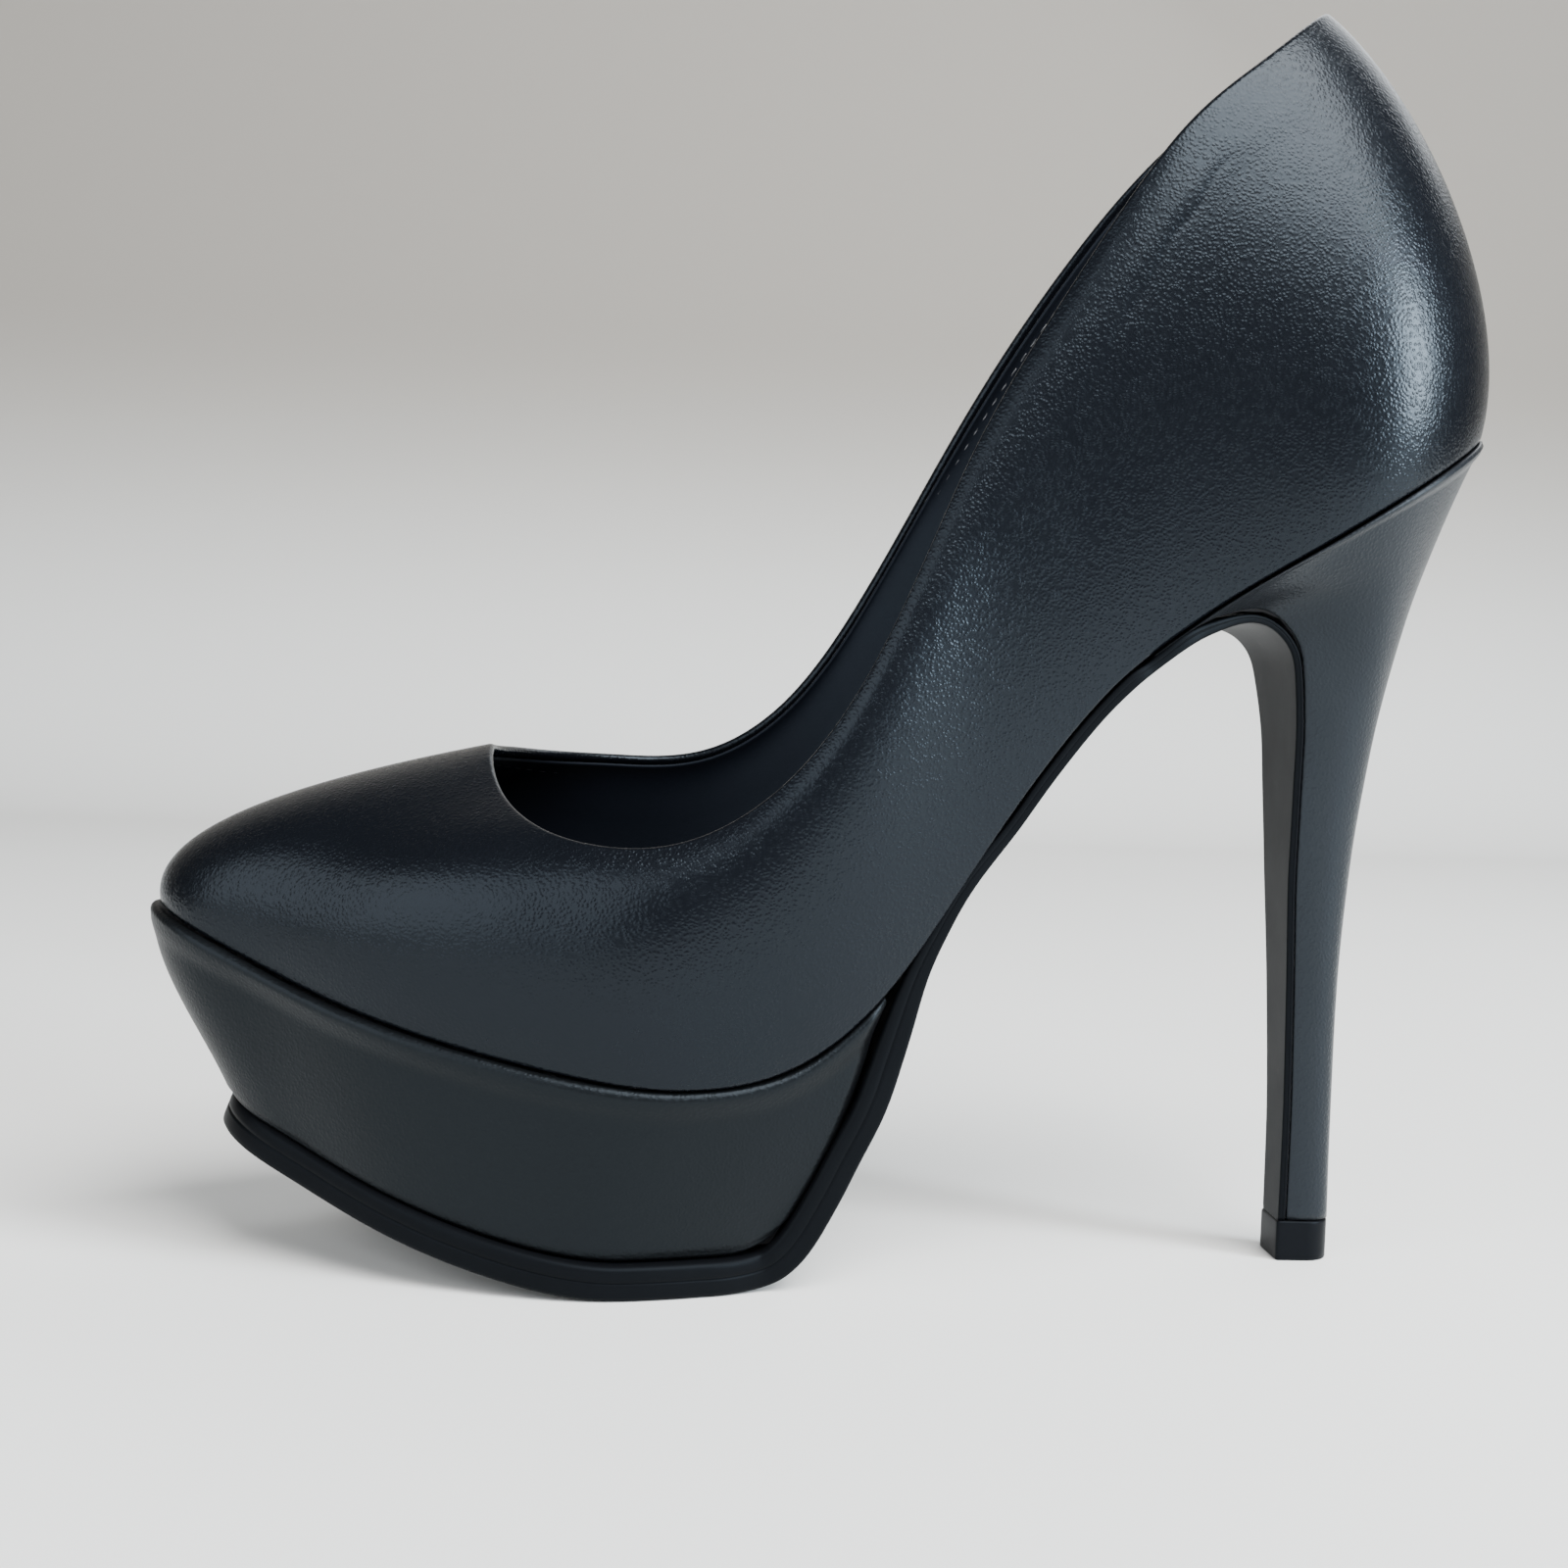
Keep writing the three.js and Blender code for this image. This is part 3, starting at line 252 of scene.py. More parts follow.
def wall_frame(surface, u, v):
    """Point and inward unit normal of the wall: the cross product of its two directions."""
    e = 1.5e-3
    u, v = np.broadcast_arrays(np.asarray(u, float), v)
    along = surface(u + e, v) - surface(u - e, v)
    rise = surface(u, np.minimum(v + e, 1)) - surface(u, np.maximum(v - e, 0))
    n = np.cross(along, rise)
    return surface(u, v), unit(n)


def edge_distance(u, v):
    """Rough distance below the topline, in millimetres, along the wall."""
    reach = np.linalg.norm(loops[3](u) - loops[2](u), axis=-1)
    return 3 * reach * (1 - v) * (0.55 + 0.45 * v)


def skin(u, v):
    """The wall with what the leather does over the tape: a roll just below the topline along the waist,
    and creases where the folded edge ends."""
    p, n = wall_frame(bare_skin, u, v)
    d = edge_distance(np.asarray(u, float), v)
    x = p[..., 0]
    waist = smooth(48, 80, x) * (1 - smooth(128, 150, x))
    high = smooth(26, 36, x) * (1 - smooth(62, 84, x))
    roll = 1.3 * waist * (d / 8.0) ** 1.3 * np.exp(1.3 * (1 - d / 8.0))
    fold = smooth(46, 52, x) * (1 - smooth(66, 78, x)) * (p[..., 1] > 0)
    slant = d - 0.22 * (x - 60) + 0.5 * np.sin(x * 0.9)
    crease = fold * (0.05 * hump(slant, 8.2, 1.5) - 0.07 * hump(slant, 10.6, 0.6))
    band = 0.12 * (1 - smooth(7.0, 11.0, d)) * smooth(0.2, 2.5, d) * high
    return p - n * (roll + crease + band)[..., None]


def wall(u, v, depth):
    """The wall moved inwards by a depth."""
    p, n = wall_frame(skin, u, v)
    return p + n * np.asarray(depth, float)[..., None]


# ---------- meshes ----------
MEETING = 2e-6


def place(p):
    """From the shoe's millimetres to the CAD frame's metres."""
    return (np.asarray(p, float) + CENTRE) * MM


def in_scene(name, data):
    """A new object with this data, linked to the scene."""
    obj = bpy.data.objects.new(name, data)
    bpy.context.scene.collection.objects.link(obj)
    return obj


def add_mesh(name, grids, material, slot, replaces=()):
    """One piece from grids of points (rows, columns, 3), each with flags that close it in rows and columns.
    Points that meet are merged, so a grid whose end rows shrink to a line or a point closes there.
    The faces are turned round where the volume inside comes out negative, so they face outwards."""
    points, quads, start = [], [], 0
    for p, close_rows, close_columns in grids:
        r, c = p.shape[:2]
        i = np.arange(r if close_rows else r - 1)[:, None]
        j = np.arange(c if close_columns else c - 1)[None, :]
        a, b = i * c + j, i * c + (j + 1) % c
        e, d = ((i + 1) % r) * c + (j + 1) % c, ((i + 1) % r) * c + j
        quads.append(np.stack([a, b, e, d], -1).reshape(-1, 4) + start)
        points.append(place(p).reshape(-1, 3))
        start += r * c
    points, quads = np.vstack(points), np.vstack(quads)
    cells = np.round(points / MEETING).astype(np.int64)
    _, first, same = np.unique(cells, axis=0, return_index=True, return_inverse=True)
    points, quads = points[first], same.reshape(-1)[quads]
    a, b, c, d = np.moveaxis(points[quads], 1, 0)
    if (a * (np.cross(b, c) + np.cross(c, d))).sum() < 0:
        quads = quads[:, ::-1]
    away = quads != np.roll(quads, 1, axis=1)
    counts = away.sum(1)
    full = quads[counts == 4]
    full = full[(full[:, 0] != full[:, 2]) & (full[:, 1] != full[:, 3])]
    thin, keep = quads[counts == 3], away[counts == 3]
    thin = thin[keep].reshape(-1, 3)
    mesh = bpy.data.meshes.new(name)
    mesh.from_pydata(points.tolist(), [], full.tolist() + thin.tolist())
    mesh.validate()
    mesh.polygons.foreach_set("use_smooth", [True] * len(mesh.polygons))
    mesh.materials.append(material)
    obj = in_scene(name, mesh)
    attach(obj, "root")
    if replaces:
        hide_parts(*replaces)
    return obj


def arc(steps, start=0.0, end=180.0):
    """Cosines and sines of evenly spaced angles in degrees."""
    a = np.radians(np.linspace(start, end, steps))
    return np.cos(a), np.sin(a)


def crowded(x0, x1, steps):
    """Stations from x0 to x1 that crowd at both ends."""
    return x0 + (x1 - x0) * (1 - np.cos(np.linspace(0, np.pi, steps))) / 2


def closed_outline(x0, x1, steps, lateral, medial):
    """Loop between x0 and x1: out along one side and back along the other."""
    x = crowded(x0, x1, steps)
    out = np.stack([x, lateral(x)], -1)
    back = np.stack([x, -medial(x)], -1)[::-1]
    out[0, 1] = out[-1, 1] = 0
    return np.vstack([out, back[1:-1]])


def side_lookup(loop_points):
    """Half widths by x on each side of a loop of plan points that runs heel, lateral, toe, medial."""
    k = int(np.argmax(loop_points[:, 0]))
    out, back = loop_points[: k + 1], loop_points[k:][::-1]

    def by_x(side):
        order = np.argsort(side[:, 0])
        return lambda x: np.interp(x, side[order, 0], np.abs(side[order, 1]))

    return by_x(out), by_x(back)


def loop_normals(outline):
    """Outward unit normals of a closed plan loop that runs clockwise."""
    t = np.roll(outline, -1, axis=0) - np.roll(outline, 1, axis=0)
    return unit(np.stack([-t[:, 1], t[:, 0]], -1))


def slab(outline, spine, profile, lay):
    """Closed body over a plan loop. Each profile row is (share of the way in to the spine, distance moved
    outwards, height share), from the middle of the underside round the edge to the middle of the top."""
    target = np.stack([np.clip(outline[:, 0], *spine), 0 * outline[:, 0]], -1)
    n = loop_normals(outline)
    share, out, height = (np.array(c, float)[:, None, None] for c in zip(*profile))
    plan = outline[None] + (target - outline)[None] * share + n[None] * out * (1 - share)
    return lay(plan[..., 0], plan[..., 1], height[..., 0] + 0 * plan[..., 0])


def side_profile(edge, inner=(1.0, 0.86, 0.7, 0.5, 0.3, 0.15, 0.06)):
    """Profile rows: the underside from the spine out, the given edge rows, and the top back to the spine."""
    low, high = edge[0], edge[-1]
    under = [(s, low[0], low[1]) for s in inner]
    over = [(s, high[0], high[1]) for s in reversed(inner)]
    return under + [(0.0, d, h) for d, h in edge] + over


# ---------- shader maths ----------
class Maths:
    """Wraps a number socket of one material's nodes, and adds Math nodes for the operators used on it."""

    def __init__(self, kit, socket):
        self.kit, self.socket = kit, socket

    def __add__(self, other):
        return self.kit.maths("ADD", self, other)

    __radd__ = __add__

    def __mul__(self, other):
        return self.kit.maths("MULTIPLY", self, other)

    __rmul__ = __mul__

    def __sub__(self, other):
        return self.kit.maths("SUBTRACT", self, other)

    def __rsub__(self, other):
        return self.kit.maths("SUBTRACT", other, self)

    def __pow__(self, other):
        return self.kit.maths("POWER", self, other)


class Finish:
    """One material: node() adds any node from its type, settings and inputs, and the rest are shorthands."""

    def __init__(self, name, **sockets):
        self.material = bpy.data.materials.new(name)
        self.material.use_nodes = True
        self.nodes = self.material.node_tree.nodes
        self.links = self.material.node_tree.links
        self.shader = self.nodes["Principled BSDF"]
        self.finish(**sockets)
        self.place = self.node("ShaderNodeTexCoord").outputs["Object"]

    def put(self, socket, value):
        value = getattr(value, "socket", value)
        if isinstance(value, bpy.types.NodeSocket):
            self.links.new(value, socket)
        else:
            socket.default_value = value

    def node(self, kind, settings=None, **inputs):
        made = self.nodes.new(kind)
        for key, value in (settings or {}).items():
            setattr(made, key, value)
        for key, value in inputs.items():
            index = int(key[1:]) if key[0] == "i" and key[1:].isdigit() else key.replace("_", " ")
            self.put(made.inputs[index], value)
        return made

    def maths(self, operation, a, b):
        return Maths(self, self.node("ShaderNodeMath", {"operation": operation}, i0=a, i1=b).outputs[0])

    def noise(self, scale, detail=2.0, roughness=0.5, vector=None):
        made = self.node("ShaderNodeTexNoise", None, Vector=vector or self.place,
                         Scale=scale, Detail=detail, Roughness=roughness)
        return Maths(self, made.outputs["Fac"])

    def cells(self, scale, vector=None):
        made = self.node("ShaderNodeTexVoronoi", None, Vector=vector or self.place, Scale=scale)
        return Maths(self, made.outputs["Distance"])

    def moved(self, scale, amount):
        """The place shifted by a colour noise, so that a pattern on it wanders."""
        wander = self.node("ShaderNodeTexNoise", None, Vector=self.place, Scale=scale, Detail=1.0)
        vector = "ShaderNodeVectorMath"
        centred = self.node(vector, {"operation": "SUBTRACT"}, i0=wander.outputs["Color"], i1=(0.5, 0.5, 0.5))
        scaled = self.node(vector, {"operation": "SCALE"}, i0=centred.outputs[0], Scale=amount)
        return self.node(vector, {"operation": "ADD"}, i0=self.place, i1=scaled.outputs[0]).outputs[0]

    def stretched(self, scale):
        return self.node("ShaderNodeMapping", None, Vector=self.place, Scale=scale).outputs[0]

    def ramp(self, value, low, high):
        """0 below low and 1 above high, smoothed."""
        smoothed = {"interpolation_type": "SMOOTHSTEP"}
        made = self.node("ShaderNodeMapRange", smoothed, Value=value, i1=low, i2=high)
        return Maths(self, made.outputs[0])

    def blend(self, factor, a, b):
        made = self.node("ShaderNodeMix", {"data_type": "RGBA"}, i0=factor, i6=a, i7=b)
        return made.outputs[2]

    def bump(self, height, distance, strength, **normal):
        inputs = {"Height": height, "Distance": distance, "Strength": strength, **normal}
        return self.node("ShaderNodeBump", None, **inputs).outputs[0]

    def finish(self, **sockets):
        for key, value in sockets.items():
            self.put(self.shader.inputs[key.replace("_", " ")], value)
        return self.material


# Blue tint on the reflections and the coat: the painted colour of cool window light, so that the highlights
# come out bluish.
PAINTED_COOL_LIGHT = (0.70, 0.86, 1.0, 1)


def leather(name, dark, light, rough, grain, coat):
    """Calf leather: pebbles half a millimetre across with pores between them, faint clouds in colour
    and gloss, and a thin finish on top."""
    m = Finish(name, Specular_IOR_Level=0.18, Specular_Tint=PAINTED_COOL_LIGHT,
               Coat_Weight=coat, Coat_Roughness=0.26, Coat_Tint=PAINTED_COOL_LIGHT)
    around = m.moved(420.0, 0.0009)
    pebbles = m.ramp(m.cells(1750.0, around), 0.0, 0.72)
    creases = m.noise(700.0, 3.0, 0.6, around)
    pores = m.ramp(m.cells(2600.0, around), 0.0, 0.16)
    clouds = m.noise(38.0, 3.0, 0.55)
    patches = m.noise(11.0, 2.0, 0.5)
    worn = m.ramp(m.noise(150.0, 4.0, 0.7), 0.62, 0.8)
    height = (1 - pebbles) * 0.9 + creases * 0.15 + pores * 0.1
    fine = m.bump(height, 0.00006 * grain, 0.8)
    shape = m.bump(clouds, 0.0005, 0.3, Normal=fine)
    colour = m.blend(clouds * 0.6 + patches * 0.4, dark, light)
    roughness = rough + (clouds - 0.5) * 0.1 + (creases - 0.5) * 0.1 + worn * 0.05
    return m.finish(Base_Color=colour, Roughness=roughness, Normal=shape)


upper_finish = leather("black_calf", (0.0022, 0.0026, 0.0038, 1), (0.0040, 0.0046, 0.0062, 1),
                       0.26, 1.0, 0.06)
cover_finish = leather("platform_calf", (0.0018, 0.0019, 0.0021, 1), (0.0030, 0.0031, 0.0034, 1),
                       0.40, 0.8, 0.02)
heel_finish = leather("heel_calf", (0.0075, 0.0084, 0.0100, 1), (0.0115, 0.0126, 0.0148, 1),
                      0.32, 1.0, 0.03)


def lining_leather():
    """Thin matt lining leather, with shallow pores and a soft nap."""
    m = Finish("lining_calf", Sheen_Weight=0.05, Sheen_Roughness=0.4,
               Specular_IOR_Level=0.2, Specular_Tint=PAINTED_COOL_LIGHT)
    clouds = m.noise(60.0, 3.0)
    nap = m.noise(2400.0, 2.0, 0.6)
    pores = m.ramp(m.cells(1500.0), 0.0, 0.2)
    colour = m.blend(clouds, (0.0018, 0.0024, 0.0048, 1), (0.0034, 0.0042, 0.0078, 1))
    return m.finish(Base_Color=colour, Roughness=0.6 + (nap - 0.5) * 0.2,
                    Normal=m.bump(nap * 0.6 + pores * 0.4, 0.00005, 0.7))


def moulded(name, dark, light, rough, speck=0.00002):
    """Moulded black rubber or plastic: even colour, a very fine satin texture, and faint rubbed patches."""
    m = Finish(name, IOR=1.3, Specular_IOR_Level=0.12, Specular_Tint=PAINTED_COOL_LIGHT)
    fine = m.noise(3200.0, 2.0, 0.6)
    broad = m.noise(90.0, 3.0, 0.6)
    rubbed = m.ramp(m.noise(220.0, 5.0, 0.7), 0.6, 0.78)
    colour = m.blend(broad * 0.7 + rubbed * 0.3, dark, light)
    return m.finish(Base_Color=colour, Roughness=rough + (broad - 0.5) * 0.12 - rubbed * 0.05,
                    Normal=m.bump(fine, speck, 0.6))


lining_finish = lining_leather()
rubber_finish = moulded("sole_rubber", (0.0026, 0.0028, 0.0034, 1), (0.0042, 0.0045, 0.0054, 1), 0.44)
tip_finish = moulded("tip_plastic", (0.0035, 0.0037, 0.0045, 1), (0.0060, 0.0063, 0.0075, 1), 0.36)
# Painted shade: the core is made near-black so that where it shows at the platform's rear corner it reads as
# the corner's shadow.
core_painted_shade_finish = moulded("core_plastic_painted_shade", (0.012, 0.012, 0.013, 1), (0.018, 0.018, 0.019, 1), 0.5)


def stitch_thread():
    """Twisted black thread, its colour lifted to grey as a painted highlight of the glossy thread: slanting
    plies from a wave across the piece, lighter on their crests.
    """
    m = Finish("black_thread_painted_glint")
    wave = m.node("ShaderNodeTexWave", {"bands_direction": "DIAGONAL"},
                  Vector=m.place, Scale=900.0, Distortion=2.0)
    ply = wave.outputs["Fac"]
    # Painted highlight: grey rather than black, and lighter where the plies stand up, for the glint of the
    # glossy thread.
    colour = m.blend(ply, (0.040, 0.041, 0.046, 1), (0.110, 0.112, 0.120, 1))
    return m.finish(Base_Color=colour, Roughness=0.45, Normal=m.bump(ply, 0.0001, 0.6))


def fibrous(name, dark, light, scale, rough=0.85, depth=0.0001):
    """Board, cork, foam or cloth: a mottled colour over a coarse and a fine grain."""
    m = Finish(name)
    coarse = m.noise(scale, 4.0, 0.65)
    fine = m.noise(scale * 6, 3.0, 0.6)
    return m.finish(Base_Color=m.blend(coarse, dark, light), Roughness=rough,
                    Normal=m.bump(coarse * 0.6 + fine * 0.4, depth, 0.7))


def steel_sheet():
    """Rolled steel: fine lines along the strip."""
    m = Finish("spring_steel", Metallic=1.0)
    lines = m.noise(900.0, 3.0, 0.6, m.stretched((0.06, 1.0, 1.0)))
    colour = m.blend(lines, (0.45, 0.46, 0.48, 1), (0.62, 0.63, 0.65, 1))
    return m.finish(Base_Color=colour, Roughness=0.28 + lines * 0.15, Normal=m.bump(lines, 0.00002, 0.5))


# ---------- upper ----------
ROUND = 520
EDGE_RADIUS = 0.8
LASTING = 7.0


def feather_inset(u, distance):
    """Plan place a distance in from the feather line, towards the middle line of the sole."""
    p = feather_line(u)
    away = np.stack([np.clip(p[..., 0], 0.14 * LENGTH, 0.87 * LENGTH) - p[..., 0], -p[..., 1]], -1)
    return p[..., :2] + unit(away) * np.asarray(distance)[..., None]


def depth_up(v, foot, edge):
    """Depth of a layer, from its full depth low down to its depth under the folded edge."""
    return mix(foot, edge, smooth(0.72, 1.0, v))


def upper_surface():
    """A closed loop of profile carried round the shoe: turned in under the sole, up the wall, over the
    folded edge as a half circle, down the inside, and back under."""
    u = np.arange(ROUND) / ROUND

    def turned(distance, height):
        q = feather_inset(u, distance)
        return off_bottom(q[:, 0], q[:, 1], height)

    ring = [turned(d, 0.0) for d in np.linspace(LASTING, 1.5, 4)]
    ring += [turned(0.55, 0.02), turned(0.12, 0.12)]
    v = np.concatenate([np.linspace(0.008, 0.80, 70), np.linspace(0.806, 0.995, 46)])
    ring += [skin(u, k) for k in v]
    top, n = wall_frame(skin, u, v[-1])
    rise = top - skin(u, v[-1] - 0.01)
    rise = unit(rise)
    for a, b in list(zip(*arc(9)))[1:-1]:
        ring.append(top + n * EDGE_RADIUS * (1 - a) + rise * EDGE_RADIUS * b)
    ring += [wall(u, k, depth_up(k, UPPER_THICKNESS, 2 * EDGE_RADIUS)) for k in v[::-3]]
    ring += [turned(d, UPPER_THICKNESS) for d in np.linspace(1.8, LASTING, 4)]
    return np.array(ring)


add_mesh("upper_leather", [(upper_surface(), True, True)], upper_finish, "upper_leather", ["upper"])


def lining_surface():
    """The same loop for the lining: its outer face against the upper, a small rounded trimmed edge, and
    its inner face."""
    u = np.arange(ROUND // 2) / (ROUND // 2)
    high = 0.982
    v = np.concatenate([np.linspace(0.06, 0.8, 40), np.linspace(0.815, high, 16)])
    ring = [wall(u, k, depth_up(k, LINING_FOOT[0], LINING_EDGE[0])) for k in v]
    top, n = wall_frame(skin, u, high)
    rise = top - skin(u, high - 0.01)
    rise = unit(rise)
    radius = (LINING_EDGE[1] - LINING_EDGE[0]) / 2
    for a, b in list(zip(*arc(6)))[1:-1]:
        ring.append(top + n * (LINING_EDGE[0] + radius * (1 - a)) + rise * radius * b)
    ring += [wall(u, k, depth_up(k, LINING_FOOT[1], LINING_EDGE[1])) for k in v[::-1]]
    return np.array(ring)


add_mesh("lining_sheet", [(lining_surface(), True, True)], lining_finish, "lining_leather", ["lining"])


def band(name, ends, low, high, thickness, columns, material, slot, node):
    """Sheet behind the upper leather: from u0 to u1, between two shares of the wall's height."""
    whole = ends[1] - ends[0] >= 1
    t = np.linspace(0, 1, columns, endpoint=not whole)
    u = mix(*ends, t)
    shares = np.linspace(0, 1, 26)
    ring = []
    for share, inner in [(k, 0) for k in shares] + [(k, 1) for k in shares[::-1]]:
        v = mix(low(t), high(t), share)
        ring.append(wall(u, v, depth_up(v, *BEHIND_LEATHER) + thickness * inner))
    ring = np.array(ring)
    if not whole:
        middle = (ring[:, [0, -1]] + ring[::-1][:, [0, -1]]) / 2
        ring = np.concatenate([middle[:, :1], ring, middle[:, 1:]], 1)
    add_mesh(name, [(ring, True, whole)], material, slot, [node])


cloth_finish = fibrous("stiffener_cloth", (0.62, 0.56, 0.44, 1), (0.74, 0.68, 0.56, 1), 700.0)
tape_finish = fibrous("woven_tape", (0.70, 0.68, 0.62, 1), (0.82, 0.80, 0.75, 1), 1500.0)
PUFF_REACH = 0.13
COUNTER_REACH = 0.185
BEHIND_LEATHER = (1.4, 0.6)


def level(share):
    """The same share of the height all along a band."""
    return lambda t: share + 0 * t


band("toe_puff_sheet", (TOE_U - PUFF_REACH, TOE_U + PUFF_REACH), level(0.06),
     lambda t: 0.56 - 0.3 * (2 * t - 1) ** 2, 0.7, 90, cloth_finish, "stiffener_sheet", "toe_puff")
band("counter_sheet", (-COUNTER_REACH, COUNTER_REACH), level(0.06),
     lambda t: 0.84 - 0.42 * abs(2 * t - 1) ** 3, 0.7, 120, cloth_finish, "stiffener_sheet", "heel_counter")
band("topline_tape_strip", (0.0, 1.0), level(0.93), level(0.975),
     0.35, 240, tape_finish, "reinforcing_tape", "topline_tape")
STITCH_BELOW_EDGE = 3.6
STITCH_DEPTH = 2.28
STITCH_PITCH = 3.0
STITCH_LENGTH = 2.35
THREAD_HALF = (0.2, 0.16)


def stitches():
    """Short rounded threads lying end to end below the trimmed edge of the lining: rings round a centre
    line, which swell and dip as sqrt(1 - (2t - 1)^4) along each stitch."""
    u = np.arange(1400) / 1400
    v = np.full(1400, 0.9)
    for _ in range(4):
        v = v + (edge_distance(u, v) - STITCH_BELOW_EDGE) / 60
    line, n = wall_frame(skin, u, v)
    line = line + n * STITCH_DEPTH
    step = np.linalg.norm(np.roll(line, -1, axis=0) - line, axis=1)
    run = np.concatenate([[0], np.cumsum(step)])
    count = int(run[-1] / STITCH_PITCH)
    start = np.arange(count) * run[-1] / count
    along = np.linspace(0, 1, 7)
    s = np.mod(start[:, None] + along[None, :] * STITCH_LENGTH, run[-1])

    def along_run(values):
        return np.stack([np.interp(s, run, column) for column in np.vstack([values, values[:1]]).T], -1)

    centre, normal = along_run(line), along_run(n)
    direction = np.gradient(centre, axis=1)
    direction = unit(direction)
    across = np.cross(normal, direction)
    swell = np.sqrt(np.clip(1 - (2 * along - 1) ** 4, 0, 1))
    lift = 0.12 * swell - 0.1
    c, sn = arc(7, 0, 360)
    c, sn = c[:-1], sn[:-1]
    grids = []
    for i in range(count):
        rings = centre[i][:, None] + (normal[i] * lift[:, None])[:, None]
        rings = rings + across[i][:, None] * (c[None, :, None] * THREAD_HALF[0] * swell[:, None, None])
        rings = rings + normal[i][:, None] * (sn[None, :, None] * THREAD_HALF[1] * swell[:, None, None])
        grids.append((rings, False, True))
    return grids


add_mesh("topline_stitching", stitches(), stitch_thread(), "lining_leather")

# ---------- insole side: cushions and sock ----------
BOARD_BOTTOM = 1.55 + 1.3 + 0.3
PAD_BOTTOM = BOARD_BOTTOM + 1.1 + 0.3
PAD_THICKNESS = 2.2
SOCK_INSET = 3.1 + 0.9 + 0.7


def inset_sides(distance):
    """Half widths by x of the feather line moved in by a distance: lateral, medial."""
    return side_lookup(feather_inset(np.arange(1600) / 1600, distance))


def pad_share(x):
    """1 over the forefoot and heel cushions, 0 at the waist between them."""
    fore = smooth(0.47 * LENGTH, 0.58 * LENGTH, x)
    heel = 1 - smooth(0.17 * LENGTH, 0.26 * LENGTH, x)
    return np.maximum(fore, heel)


def pad_top(x):
    """Height of the cushions' tops above the bottom of the last."""
    return PAD_BOTTOM + PAD_THICKNESS * mix(0.3, 1, pad_share(x))


def cushion(name, x0, x1, low, node):
    """A crowned pad: flat below, its top highest in the middle and rolled down to a round edge."""
    lateral, medial = inset_sides(SOCK_INSET + 0.3)

    def within(side):
        """A half width that narrows to nothing at both ends of the pad."""
        return lambda x: np.minimum(side(x), 2.2 * np.sqrt(np.clip((x - x0) * (x1 - x), 0, None)))

    outline = closed_outline(x0, x1, 90, within(lateral), within(medial))
    edge = [(0.35 * a - 0.4, 0.5 + 0.45 * b) for a, b in zip(*arc(9, -90, 90))]

    def lay(x, y, h):
        return off_bottom(x, y, mix(low, pad_top(x) - 0.06, h))

    grid = slab(outline, (x0 + 14, x1 - 14), side_profile(edge), lay)
    obj = add_mesh(name, [(grid, False, True)], foam_finish, "cushion_foam", [node])


foam_finish = fibrous("latex_foam", (0.70, 0.64, 0.50, 1), (0.80, 0.75, 0.62, 1), 900.0, 0.9)
cushion("forefoot_cushion", 0.52 * LENGTH + 3.5, LENGTH - 12.0, BOARD_BOTTOM + 0.05, "forefoot_pad")
cushion("heel_cushion", 9.2, 0.27 * LENGTH, PAD_BOTTOM + 0.12, "heel_pad")


def sock():
    """The sock: a thin sheet over the cushions, its edge rounded and turned down a little at the wall."""
    reach = SOCK_INSET - 1.5
    lateral, medial = inset_sides(reach)
    outline = closed_outline(reach + 0.4, LENGTH - reach - 0.4, 160, lateral, medial)
    rounded = [(0.3 * a - 0.35, 1.2 + 0.5 * b) for a, b in zip(*arc(7, -90, 90))]
    profile = side_profile([(-1.6, 0.1), (-0.9, 0.5)] + rounded + [(-1.0, 1.35), (-1.8, 1.02)])

    def lay(x, y, h):
        return off_bottom(x, y, pad_top(x) + 0.3 + 0.8 * h)

    return slab(outline, (0.14 * LENGTH, 0.87 * LENGTH), profile, lay)


add_mesh("sock_sheet", [(sock(), False, True)], lining_finish, "lining_leather", ["sock_lining"])


# ---------- platform ----------
def tread_height(x):
    """Underside of the sole: flat, then rising as t^1.6 towards the toe."""
    t = np.clip((np.asarray(x, float) - SPRING_START) / (FRONT_BOTTOM - SPRING_START), 0, None)
    return TOE_SPRING * t**1.6


lateral_feather, medial_feather = inset_sides(0.0)
COVER_STEPS = 150
REAR_STEPS = 40
TOE_BOW = 2.0
REAR_BOW = 2.2
COVER_GAP = 0.3


def cover_outline():
    """Top outline of the platform: the feather line ahead of the rear face, with rounded rear corners."""
    x = crowded(REAR_TOP, LENGTH, COVER_STEPS)
    corner = 1 - (1 - np.clip((x - REAR_TOP) / 2.2, 0, 1)) ** 2 * 0.06
    out = np.stack([x, lateral_feather(x) * corner], -1)
    back = np.stack([x, -medial_feather(x) * corner], -1)[::-1]
    out[-1, 1] = 0
    across = np.linspace(back[-1, 1], out[0, 1], REAR_STEPS)[1:-1]
    rear = np.stack([np.full(REAR_STEPS - 2, REAR_TOP), across], -1)
    return np.vstack([out, back[1:], rear])


